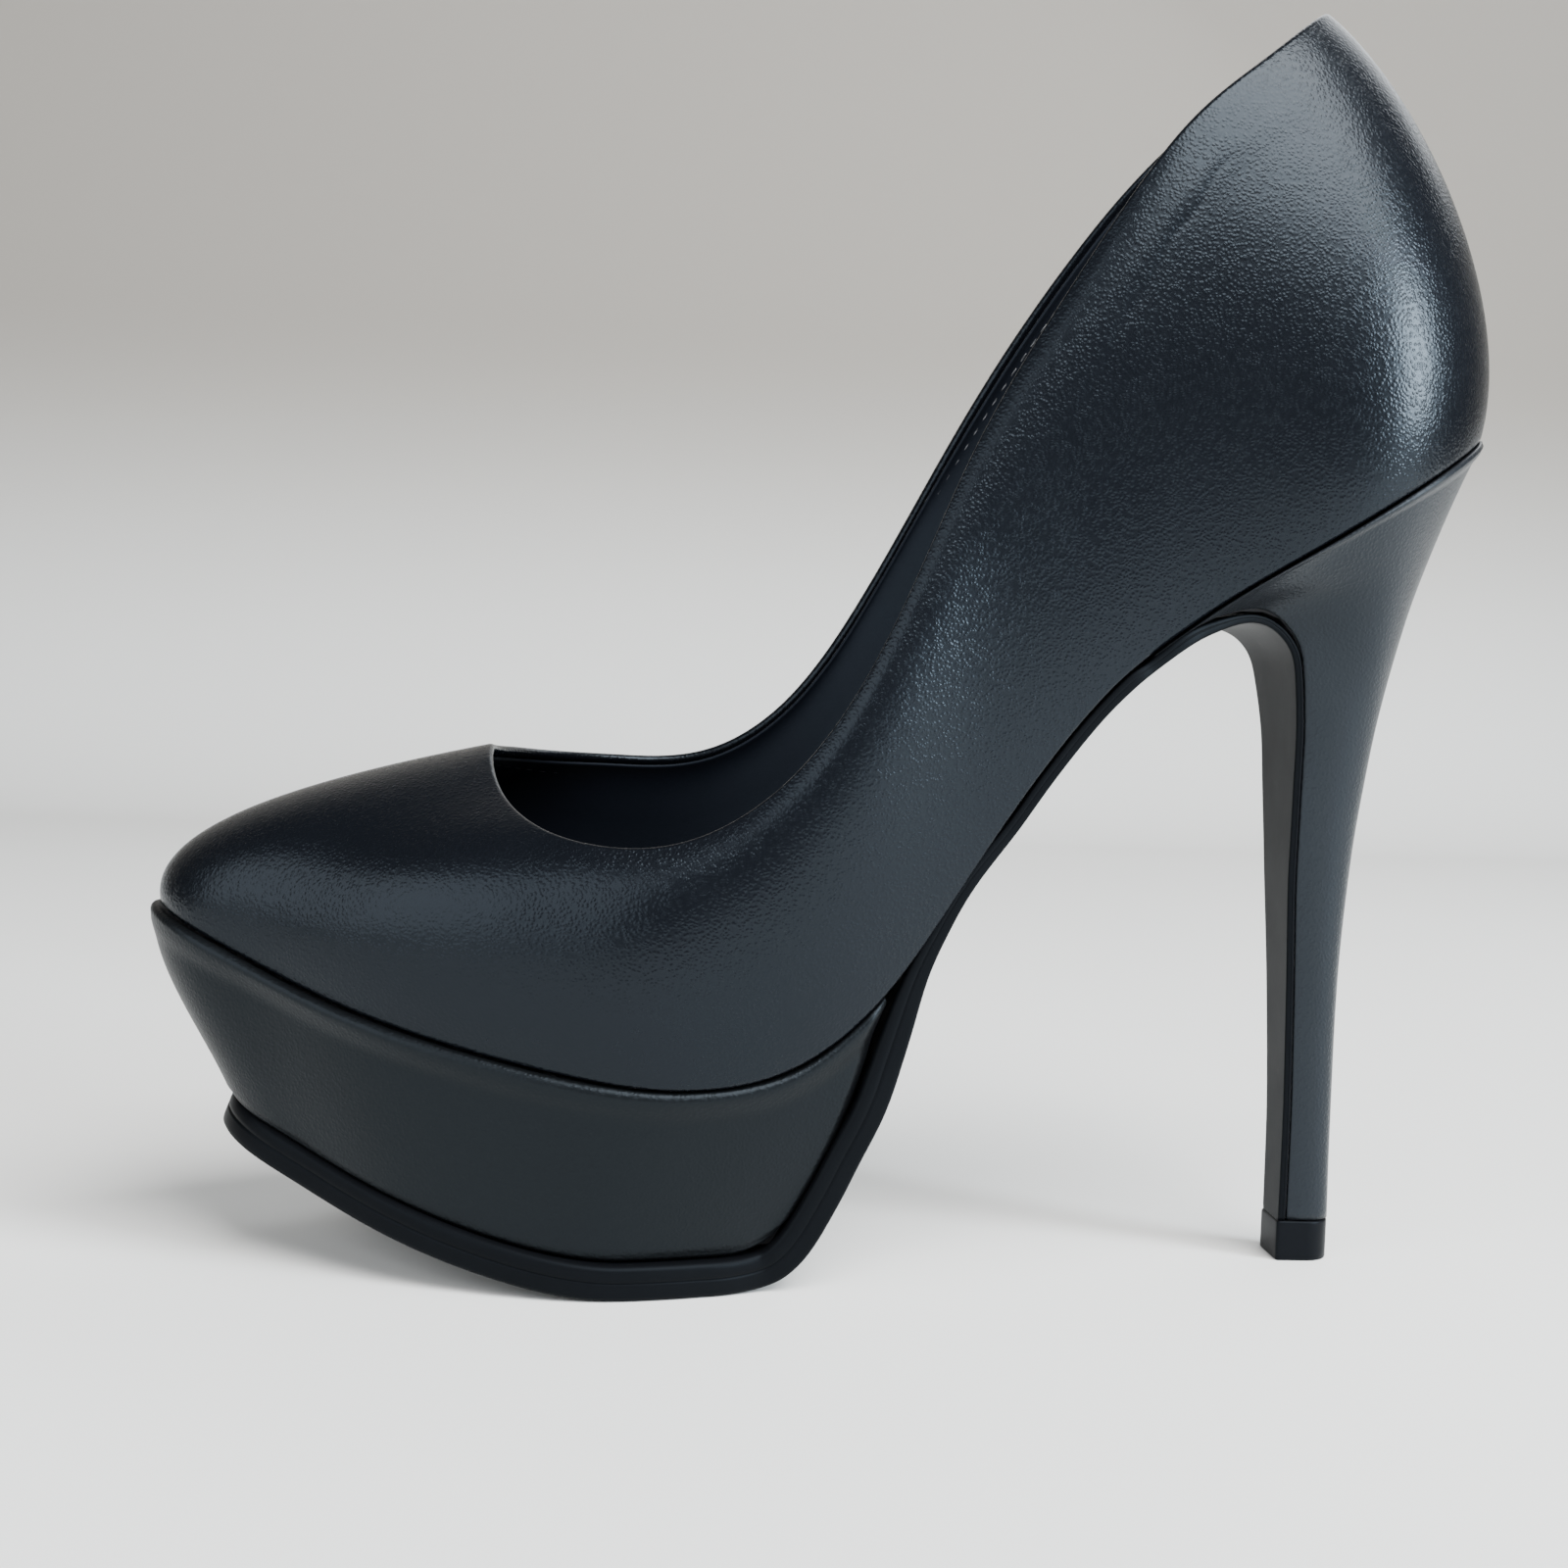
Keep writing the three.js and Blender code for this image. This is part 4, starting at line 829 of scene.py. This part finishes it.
def cover_surface():
    """Side w from the sole to the upper, slanting in to its bottom: rounded at both edges, with a soft rolled
    rim at the top, turned in above and below, and an inner face."""
    top = cover_outline()
    s = (top[:, 0] - REAR_TOP) / (LENGTH - REAR_TOP)
    n = loop_normals(top)
    rear = s < 1e-6
    away = np.clip(1 - s / 0.085, 0, 1)
    foot = 0.19 * (1 - np.sqrt(1 - away**2))

    def side(w, out, lift=0.0):
        w = mix(foot, 1, w)
        x = mix(mix(REAR_BOTTOM, FRONT_BOTTOM, s), mix(REAR_TOP, FRONT_TOP, s), w)
        toe_bow = TOE_BOW * 6.75 * w * w * (1 - w) * smooth(0.8, 1, s)
        bow = toe_bow - REAR_BOW * 4 * w * (1 - w) * (1 - smooth(0, 0.3, s))
        y = top[:, 1] * mix(COVER_TAPER, 1, w)
        x, y = x + bow + n[:, 0] * out, y + n[:, 1] * out
        bottom = mix(REAR_BOTTOM, FRONT_BOTTOM, s) + n[:, 0] * out
        upper_x = np.minimum(mix(REAR_TOP, FRONT_TOP, s) + n[:, 0] * out, FRONT_TOP + 1)
        low = tread_height(bottom) + OUTSOLE_THICKNESS + COVER_GAP
        high = bottom_height(upper_x) - COVER_GAP
        return np.stack([x, y, mix(low, high, w) + lift], -1)

    ring = [side(0.0, out) for out in (-6.0, -4.0, -2.0)]
    for a, b in zip(*arc(6, -90, 0)):
        ring.append(side(0.0, -0.9 * (1 - a), 0.9 * (1 + b)))
    rim = 1.0 * (1 - 0.6 * smooth(0.9, 1, s)) * ~rear
    for w in np.linspace(0.05, 0.90, 34):
        ring.append(side(w, rim * smooth(0.80, 0.93, w) + 0.25 * np.sin(np.pi * w) * ~rear))
    for a, b in zip(*arc(12, -15, 90)):
        ring.append(side(1.0, rim + 1.4 * (a - 1), 1.5 * (b - 1)))
    ring += [side(1.0, out, -0.1) for out in (-1.2, -2.0, -4.0, -6.0)]
    inner_face = [(1.0, -6.0, -1.0), (1.0, -1.6, -1.0), (0.97, -1.0, -1.0), (0.5, -0.9, 0),
                  (0.03, -0.95, 1), (0.0, -1.6, 1.0), (0.0, -6.0, 1.0)]
    return np.array(ring + [side(*row) for row in inner_face])


add_mesh("platform_leather", [(cover_surface(), True, True)],
         cover_finish, "cover_leather", ["platform_cover"])

# ---------- outsole: tread, riser, waist and breast flap in one bent sheet ----------
# arch under the waist: x, drop below the bottom of the last, half width over FLAP_HALF, thickness
ARCH = np.array([
    (57.0, 3.4, 1.87, 1.9), (51.0, 3.6, 1.74, 2.2), (46.0, 4.7, 1.5, 1.85), (40.0, 6.9, 1.26, 1.35),
    (35.5, 10.8, 1.08, 1.2), (32.6, 15.7, 1.02, 1.2), (31.4, 20.9, 0.96, 1.2),
])
# riser up the rear face of the platform: x, height, how far it has merged with the waist, thickness
RISER = np.array([
    (113.4, 0.75, 0.01, 5.4), (109.6, 2.9, 0.05, 5.4), (106.6, 6.4, 0.13, 5.4), (104.2, 10.6, 0.24, 5.3),
    (101.9, 15.2, 0.35, 5.2), (99.6, 20.2, 0.46, 5.1), (96.4, 27.0, 0.6, 5.0), (94.0, 34.2, 0.75, 4.9),
    (92.0, 41.5, 0.87, 4.4), (90.2, 48.2, 0.95, 3.6), (87.6, 54.6, 1.0, 2.9), (83.6, 61.9, 1.0, 2.5),
])
LEDGE = 1.2
WAIST_START = REAR_TOP - 4.5
WAIST_INSET = 0.9
WAIST_THICKNESS = 2.1
FLAP_THICKNESS = 1.2
BREAST_STEPS = 12
arch_z = bottom_height(ARCH[:, 0]) - ARCH[:, 1]
# breast of the heel: shares of its height, of its run in x, and of its gain in half width
BREAST = np.array([
    (0, 0, 0), (0.2, 0.03, 0.05), (0.45, 0.26, 0.19), (0.63, 0.49, 0.34),
    (0.77, 0.6, 0.56), (0.94, 0.77, 0.85), (1, 1, 1),
])
breast_x, breast_half = (curve_through(BREAST[:, [0, k]]) for k in (1, 2))


def breast(h):
    """Front line of the heel below the arch: x, z and half width at a share of the breast's height."""
    return np.stack([
        mix(TIP_FRONT, ARCH[-1, 0], breast_x(h)),
        mix(HEEL_BOTTOM, arch_z[-1], h),
        mix(TIP_HALF, ARCH[-1, 2] * FLAP_HALF, breast_half(h)),
    ], -1)


def waist_side(feather, x):
    """Half width of the waist: just inside the feather line."""
    return feather(x) - WAIST_INSET


def sole_line():
    """The outsole's underside in profile and its half widths, from the toe to the heel tip:
    x, z, lateral, medial, thickness."""
    sides = (lateral_feather, medial_feather)
    s = np.linspace(1, 0.085, 26)
    x = mix(REAR_BOTTOM, FRONT_BOTTOM, s)
    foot_x = mix(REAR_TOP, LENGTH, s)
    tread = [f(foot_x) * COVER_TAPER + LEDGE for f in sides]
    rows = [np.stack([x, tread_height(x), *tread, np.full(len(x), OUTSOLE_THICKNESS)], -1)]
    x, z, share, thickness = RISER.T
    width = mix(COVER_TAPER, 1, share)
    out = LEDGE * (1 - share)
    merged = smooth(0.5, 1, share)
    riser = [
        mix(f(REAR_TOP) * width + out, waist_side(f, np.minimum(x + 6, WAIST_START)), merged) for f in sides
    ]
    rows.append(np.stack([x, z, *riser, thickness], -1))
    x = np.linspace(79.5, 60.5, 6)
    p = off_bottom(x, 0.0, -SEAT_DROP - WAIST_THICKNESS)
    waist = [waist_side(f, x) for f in sides]
    rows.append(np.stack([p[:, 0], p[:, 2], *waist, np.full(len(x), WAIST_THICKNESS)], -1))
    half = ARCH[:, 2] * FLAP_HALF
    rows.append(np.stack([ARCH[:, 0], arch_z, half, half, ARCH[:, 3]], -1))
    b = breast(np.linspace(1, 0, BREAST_STEPS)[1:])
    rows.append(np.stack([b[:, 0], b[:, 1], b[:, 2], b[:, 2], np.full(len(b), FLAP_THICKNESS)], -1))
    return np.vstack(rows)


line = sole_line()
line_at = spline(line, chords(line[:, :2]))
line_end = chords(line[:, :2])[-1]
dense = line_at(np.linspace(0, line_end, 6000))
run = np.concatenate([[0], np.cumsum(np.linalg.norm(np.diff(dense[:, :2], axis=0), axis=1))])


def sole_at(l, column):
    """One column of the sole line at a distance along its profile."""
    return np.interp(l, run, dense[:, column])


def sole_outline():
    """The sheet's outline laid flat: distance along its profile and half width, with the toe as on the
    platform."""
    near = 60.0
    toe = (1 - np.cos(np.linspace(0, np.pi / 2, 90))) * near
    l = np.append(toe, np.linspace(near, run[-1], 420)[1:])
    s = np.clip((sole_at(l, 0) - REAR_BOTTOM) / (FRONT_BOTTOM - REAR_BOTTOM), 0, 1)
    foot_x = mix(REAR_TOP, LENGTH, s)
    toe_part = l < near * 0.9
    lateral = np.where(toe_part, lateral_feather(foot_x) * COVER_TAPER, sole_at(l, 2) - LEDGE)
    medial = np.where(toe_part, medial_feather(foot_x) * COVER_TAPER, sole_at(l, 3) - LEDGE)
    lateral[0] = medial[0] = 0
    out = np.stack([l, lateral], -1)
    back = np.stack([l, -medial], -1)[::-1]
    cap = np.stack([np.full(9, run[-1]), np.linspace(lateral[-1], -lateral[-1], 11)[1:-1]], -1)
    return np.vstack([out, cap, back[:-1]])


def sole_surface():
    """The flat outline bent along the profile, with a moulded edge: a rounded lower corner, a fine line at
    mid height, an undercut, and a chamfered upper corner that stands out as a ledge."""
    flat = sole_outline()
    n = loop_normals(flat)
    target = np.stack([np.clip(flat[:, 0], 26.0, run[-1] - 2.0), 0 * flat[:, 0]], -1)
    on_tread = 1 - smooth(118, 140, flat[:, 0])
    thickness = sole_at(flat[:, 0], 4)
    edge = [(-0.9, 0.0), (-0.45, 0.02), (-0.12, 0.07), (0.0, 0.16), (0.1, 0.3), (0.18, 0.44), (0.2, 0.5),
            (-0.02, 0.53), (0.22, 0.56), (0.3, 0.66), (0.34, 0.78), (0.3, 0.86), (0.12, 0.93),
            (-0.25, 0.98), (-0.8, 1.0)]
    rows = side_profile(edge, (1.0, 0.8, 0.6, 0.4, 0.22, 0.1, 0.04))
    soft = np.where(on_tread > 0.5, 1.0, np.clip(thickness / OUTSOLE_THICKNESS, 0.35, 1))
    e = 0.4
    grid = []
    for share, d, h in rows:
        plan = flat + n * (LEDGE + d * soft)[:, None] * (1 - share)
        plan = plan + (target - plan) * share
        l = np.clip(plan[:, 0], -3, run[-1] + 0.5)
        on_line = np.clip(l, 0, run[-1])
        x, z = sole_at(on_line, 0), sole_at(on_line, 1)
        lo, hi = np.clip(l - e, 0, run[-1] - 2 * e), np.clip(l + e, 2 * e, run[-1])
        t = np.stack([sole_at(hi, 0) - sole_at(lo, 0), sole_at(hi, 1) - sole_at(lo, 1)], -1)
        t = unit(t)
        x, z = x + t[:, 0] * (l - on_line), z + t[:, 1] * (l - on_line)
        up = np.stack([t[:, 1], -t[:, 0]], -1)
        rise = sole_at(on_line, 4) * h
        grid.append(np.stack([x + up[:, 0] * rise, plan[:, 1], z + up[:, 1] * rise], -1))
    return np.array(grid)


add_mesh("outsole_rubber", [(sole_surface(), False, True)], rubber_finish, "sole_rubber", ["outsole"])

# ---------- heel ----------
back_share = curve_through([
    (0, 1), (0.1, 1.01), (0.31, 1.01), (0.46, 0.95), (0.55, 0.88), (0.645, 0.78),
    (0.77, 0.57), (0.86, 0.36), (0.945, 0.13), (1, -0.04),
])
side_half = curve_through([
    (0, 0), (0.15, 0.01), (0.3, 0.05), (0.45, 0.12), (0.57, 0.22),
    (0.67, 0.35), (0.75, 0.5), (0.83, 0.67), (0.9, 0.82), (1, 1),
])
BREAST_SHARE = 0.68
BEHIND_FLAP = 1.35
COVER_THICKNESS = 0.7
arch_rows = np.stack([ARCH[:, 0], arch_z, ARCH[:, 2] * FLAP_HALF], -1)[::-1]
front_rows = np.vstack([breast(np.linspace(0, 1, BREAST_STEPS)), arch_rows[1:]])
breast_knots = np.linspace(0, BREAST_SHARE, BREAST_STEPS)
arch_knots = np.linspace(BREAST_SHARE, 1, len(arch_rows))
front_line = spline(front_rows, np.append(breast_knots, arch_knots[1:]))


def front_edge(h):
    """Front edge of the heel: the flap's line moved behind the flap."""
    p = front_line(h)
    t = front_line(np.clip(h + 0.01, 0, 1)) - front_line(np.clip(h - 0.01, 0, 1))
    size = np.hypot(t[..., 0], t[..., 1])
    x = p[..., 0] - t[..., 1] / size * BEHIND_FLAP
    z = p[..., 1] + t[..., 0] / size * BEHIND_FLAP
    z = np.where(h > BREAST_SHARE, np.minimum(z, bottom_height(x) - SEAT_DROP - 0.05), z)
    return np.stack([x, p[..., 2] - 0.3, z], -1)


def feather_u(side, x):
    """Place round the loop where the feather line reaches x on one side."""
    u = np.linspace(0, TOE_U, 900) if side > 0 else np.linspace(1, TOE_U, 900)
    return np.interp(x, feather_line(u)[:, 0], u)


def heel_skin(side, h, a):
    """Outer face of the heel: a Bezier from the front edge a = 0 to the back a = 1 at each height share h,
    which takes on the line of the seat as h nears 1."""
    flip = np.array([1, side, 1])

    def bezier(h):
        front = front_edge(h) * flip
        back_z = mix(HEEL_BOTTOM, SEAT_HEIGHT - SEAT_DROP, h)
        back = np.stack([HEEL_TIP_BACK * back_share(h), 0 * h, back_z], -1)
        half = mix(TIP_HALF + 0.2, HALF["seat"], side_half(h))
        steer = np.maximum(np.abs(front[..., 1]), half * 1.05)
        first_x = mix(front[..., 0], back[..., 0], 0.4)
        first = np.stack([first_x, steer * side, mix(front[..., 2], back[..., 2], 0.35)], -1)
        second = np.stack([back[..., 0], half * side, back[..., 2]], -1)
        t = a[..., None]
        w = 1 - t
        return front * w**3 + 3 * first * w**2 * t + 3 * second * w * t**2 + back * t**3

    start = feather_u(side, front_edge(np.array(1.0))[0])
    place_u = mix(start, 0.0 if side > 0 else 1.0, a)
    seam = feather_inset(place_u, -0.2)
    seam = off_bottom(seam[..., 0], seam[..., 1], -SEAT_DROP)
    return bezier(h) + (seam - bezier(np.ones_like(h))) * smooth(0.6, 1, h)[..., None]


def heel_surface():
    """The leather round the heel: outer face with a soft rim along the seat, its edges rounded, and an
    inner face."""
    h = np.concatenate([np.linspace(0, 0.9, 120), np.linspace(0.905, 1, 40)])
    a = np.linspace(0, 1, 70) ** 1.15
    sheets = []
    for side in (1, -1):
        hh, aa = np.meshgrid(h, a, indexing="ij")
        p = heel_skin(side, hh, aa)
        e = 0.004
        along = heel_skin(side, hh, np.minimum(aa + e, 1)) - heel_skin(side, hh, np.maximum(aa - e, 0))
        n = np.stack([along[..., 1], -along[..., 0], 0 * aa], -1) * -side
        n = unit(n)
        n[:, -1] = (1, 0, 0)
        sheets.append((p, n, hh))
    p, n, hh = (np.concatenate([one, other[:, -2::-1]], 1) for one, other in zip(*sheets))
    rim = 0.45 * smooth(0.972, 0.988, hh) - 0.5 * smooth(0.994, 1.0, hh)
    k = np.arange(p.shape[1])
    k = np.minimum(k, k[::-1])
    rounded = 0.25 * np.clip(1 - k / 3.0, 0, 1) ** 2
    outer = p - n * (rim - rounded[None, :])[..., None]
    return outer, p + n * COVER_THICKNESS


outer, inner = heel_surface()
shell = np.concatenate([outer, inner[:, ::-1]], 1)
bottom_strip = np.stack([outer[0], inner[0]], 0)
top_strip = np.stack([inner[-1], outer[-1]], 0)
heel_grids = [(shell, False, True), (bottom_strip[::-1], False, False), (top_strip[::-1], False, False)]
add_mesh("heel_leather", heel_grids, heel_finish, "cover_leather", ["heel_cover"])


def tip_surface():
    """The top piece: square at the front, round at the back, with fine rounded edges and a slightly worn
    lower rim."""
    front, half = TIP_FRONT + 0.2, TIP_HALF + 0.2
    centre = HEEL_TIP_BACK + half
    r = 0.5

    def turn(x, y, radius, steps, start, end):
        c, s = arc(steps, start, end)
        return np.stack([x + radius * c, y + radius * s], -1)

    back = turn(centre, 0, half, 48, 90, 270)
    corners = [turn(front - r, r - half, r, 7, -90, 0), turn(front - r, half - r, r, 7, 0, 90)]
    lower = np.stack([np.linspace(centre, front - r, 10)[1:-1], np.full(8, -half)], -1)
    upper = np.stack([np.linspace(front - r, centre, 10)[1:-1], np.full(8, half)], -1)
    face = np.stack([np.full(8, front), np.linspace(-half + r, half - r, 10)[1:-1]], -1)
    loop = np.vstack([back, lower, corners[0], face, corners[1], upper])
    middle = np.array([mix(HEEL_TIP_BACK, front, 0.5), 0])
    rows = [(1.0, 0.0), (0.6, 0.0), (0.2, 0.0), (0.06, 0.0), (0.02, 0.05), (0.0, 0.25),
            (0.0, 1.5), (0.0, 3.0), (0.0, 4.6), (0.0, 6.1),
            (0.012, 6.35), (0.04, 6.5), (0.2, 6.5), (0.6, 6.5), (1.0, 6.5)]
    return np.array([np.column_stack([loop + (middle - loop) * s, np.full(len(loop), z)]) for s, z in rows])


add_mesh("heel_top_piece", [(tip_surface(), False, True)], tip_finish, "top_piece_plastic", ["top_piece"])

# ---------- finishes of the hidden parts ----------
board_finish = fibrous("cellulose_board", (0.24, 0.15, 0.08, 1), (0.36, 0.25, 0.15, 1), 500.0)
cork_finish = fibrous("cork_filler", (0.22, 0.12, 0.06, 1), (0.45, 0.30, 0.17, 1), 350.0)
steel_finish = steel_sheet()
steel_parts = ["steel_shank", "heel_tube", "top_piece_dowel", "heel_screw", "shank_rivet_1", "shank_rivet_2"]
steel_parts += [f"heel_nail_{k}" for k in range(1, 5)]
for names, finish in (
    (("insole_board", "shank_board"), board_finish),
    (("bottom_filler",), cork_finish),
    (("platform_core", "heel_block"), core_painted_shade_finish),
    (steel_parts, steel_finish),
):
    for name in names:
        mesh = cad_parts[name].data
        mesh.materials.clear()
        mesh.materials.append(finish)


# ---------- floor, light and camera ----------
def floor():
    """A pale floor that bends up into a pale wall behind: flat, a quarter circle, then upright."""
    m = Finish("pale_floor", Roughness=0.85)
    height = m.node("ShaderNodeSeparateXYZ", None, Vector=m.place).outputs["Z"]
    pale = m.blend(m.noise(4.0, 2.0), (0.84, 0.83, 0.80, 1), (0.88, 0.87, 0.84, 1))
    m.finish(Base_Color=m.blend(m.ramp(height, 0.0, 0.35), pale, (0.30, 0.275, 0.245, 1)))
    a = np.radians(np.linspace(0, 90, 24))
    r = 0.25
    y = np.concatenate([[4.0], -0.9 - r * np.sin(a), [-0.9 - r]])
    z = np.concatenate([[0.0], r * (1 - np.cos(a)), [3.5]])
    x = np.array([-4.0, 4.0])
    grid = np.stack(np.broadcast_arrays(x[None, :], y[:, None], z[:, None]), -1)
    quads = [(2 * i, 2 * i + 1, 2 * i + 3, 2 * i + 2) for i in range(len(y) - 1)]
    mesh = bpy.data.meshes.new("floor")
    mesh.from_pydata(grid.reshape(-1, 3).tolist(), [], quads)
    mesh.polygons.foreach_set("use_smooth", [True] * len(quads))
    mesh.materials.append(m.material)
    in_scene("floor", mesh)


def stood(x, y, z, at):
    """The matrix of an object whose own axes are x, y and z, at a place."""
    columns = np.vstack([np.stack([x, y, z, at], 1), (0, 0, 0, 1)])
    return Matrix(columns.tolist())


def lamp(name, at, towards, size, power, colour):
    """A rectangular lamp at a place, shining towards another."""
    data = bpy.data.lights.new(name, "AREA")
    data.shape = "RECTANGLE"
    data.size, data.size_y = size
    data.energy = power
    data.color = colour
    obj = in_scene(name, data)
    z = np.array(at, float) - np.array(towards, float)
    z = unit(z)
    x = np.cross((0, 0, 1), z)
    x = unit(x)
    y = np.cross(z, x)
    obj.matrix_world = stood(x, y, z, at)


def camera(at, yaw, pitch, roll, lens):
    """Camera from its place and angles in degrees: it looks along -Y when all are 0."""
    yaw, pitch, roll = np.radians([yaw, pitch, roll])
    back = np.array([np.sin(yaw) * np.cos(pitch), np.cos(yaw) * np.cos(pitch), np.sin(pitch)])
    right = np.array([-np.cos(yaw), np.sin(yaw), 0])
    up = np.cross(back, right)
    across = right * np.cos(roll) + up * np.sin(roll)
    upright = -right * np.sin(roll) + up * np.cos(roll)
    data = bpy.data.cameras.new("camera")
    data.sensor_width, data.lens = 36.0, lens
    data.clip_start, data.clip_end = 0.01, 20.0
    obj = in_scene("camera", data)
    obj.matrix_world = stood(across, upright, back, at)
    bpy.context.scene.camera = obj


floor()
lamp("window", (-1.20, 0.66, 0.52), (-0.06, 0, 0.14), (0.44, 0.52), 34.0, (0.82, 0.92, 1.0))
lamp("overhead", (-0.48, 0.70, 1.20), (0, 0, 0.05), (1.1, 1.0), 50.0, (0.98, 0.99, 1.0))
lamp("side", (0.90, 0.82, 0.56), (0, 0, 0.06), (1.3, 1.0), 15.0, (0.92, 0.96, 1.0))
lamp("fill", (-0.55, -0.72, 0.85), (0, 0, 0.08), (0.8, 0.6), 4.0, (0.92, 0.96, 1.0))
world = bpy.data.worlds.new("studio")
world.use_nodes = True
world.node_tree.nodes["Background"].inputs["Color"].default_value = (0.80, 0.86, 0.95, 1)
world.node_tree.nodes["Background"].inputs["Strength"].default_value = 0.11
bpy.context.scene.world = world
camera((0.03086, 0.33399, 0.09119), 4.19, 2.70, 2.04, 47.5)
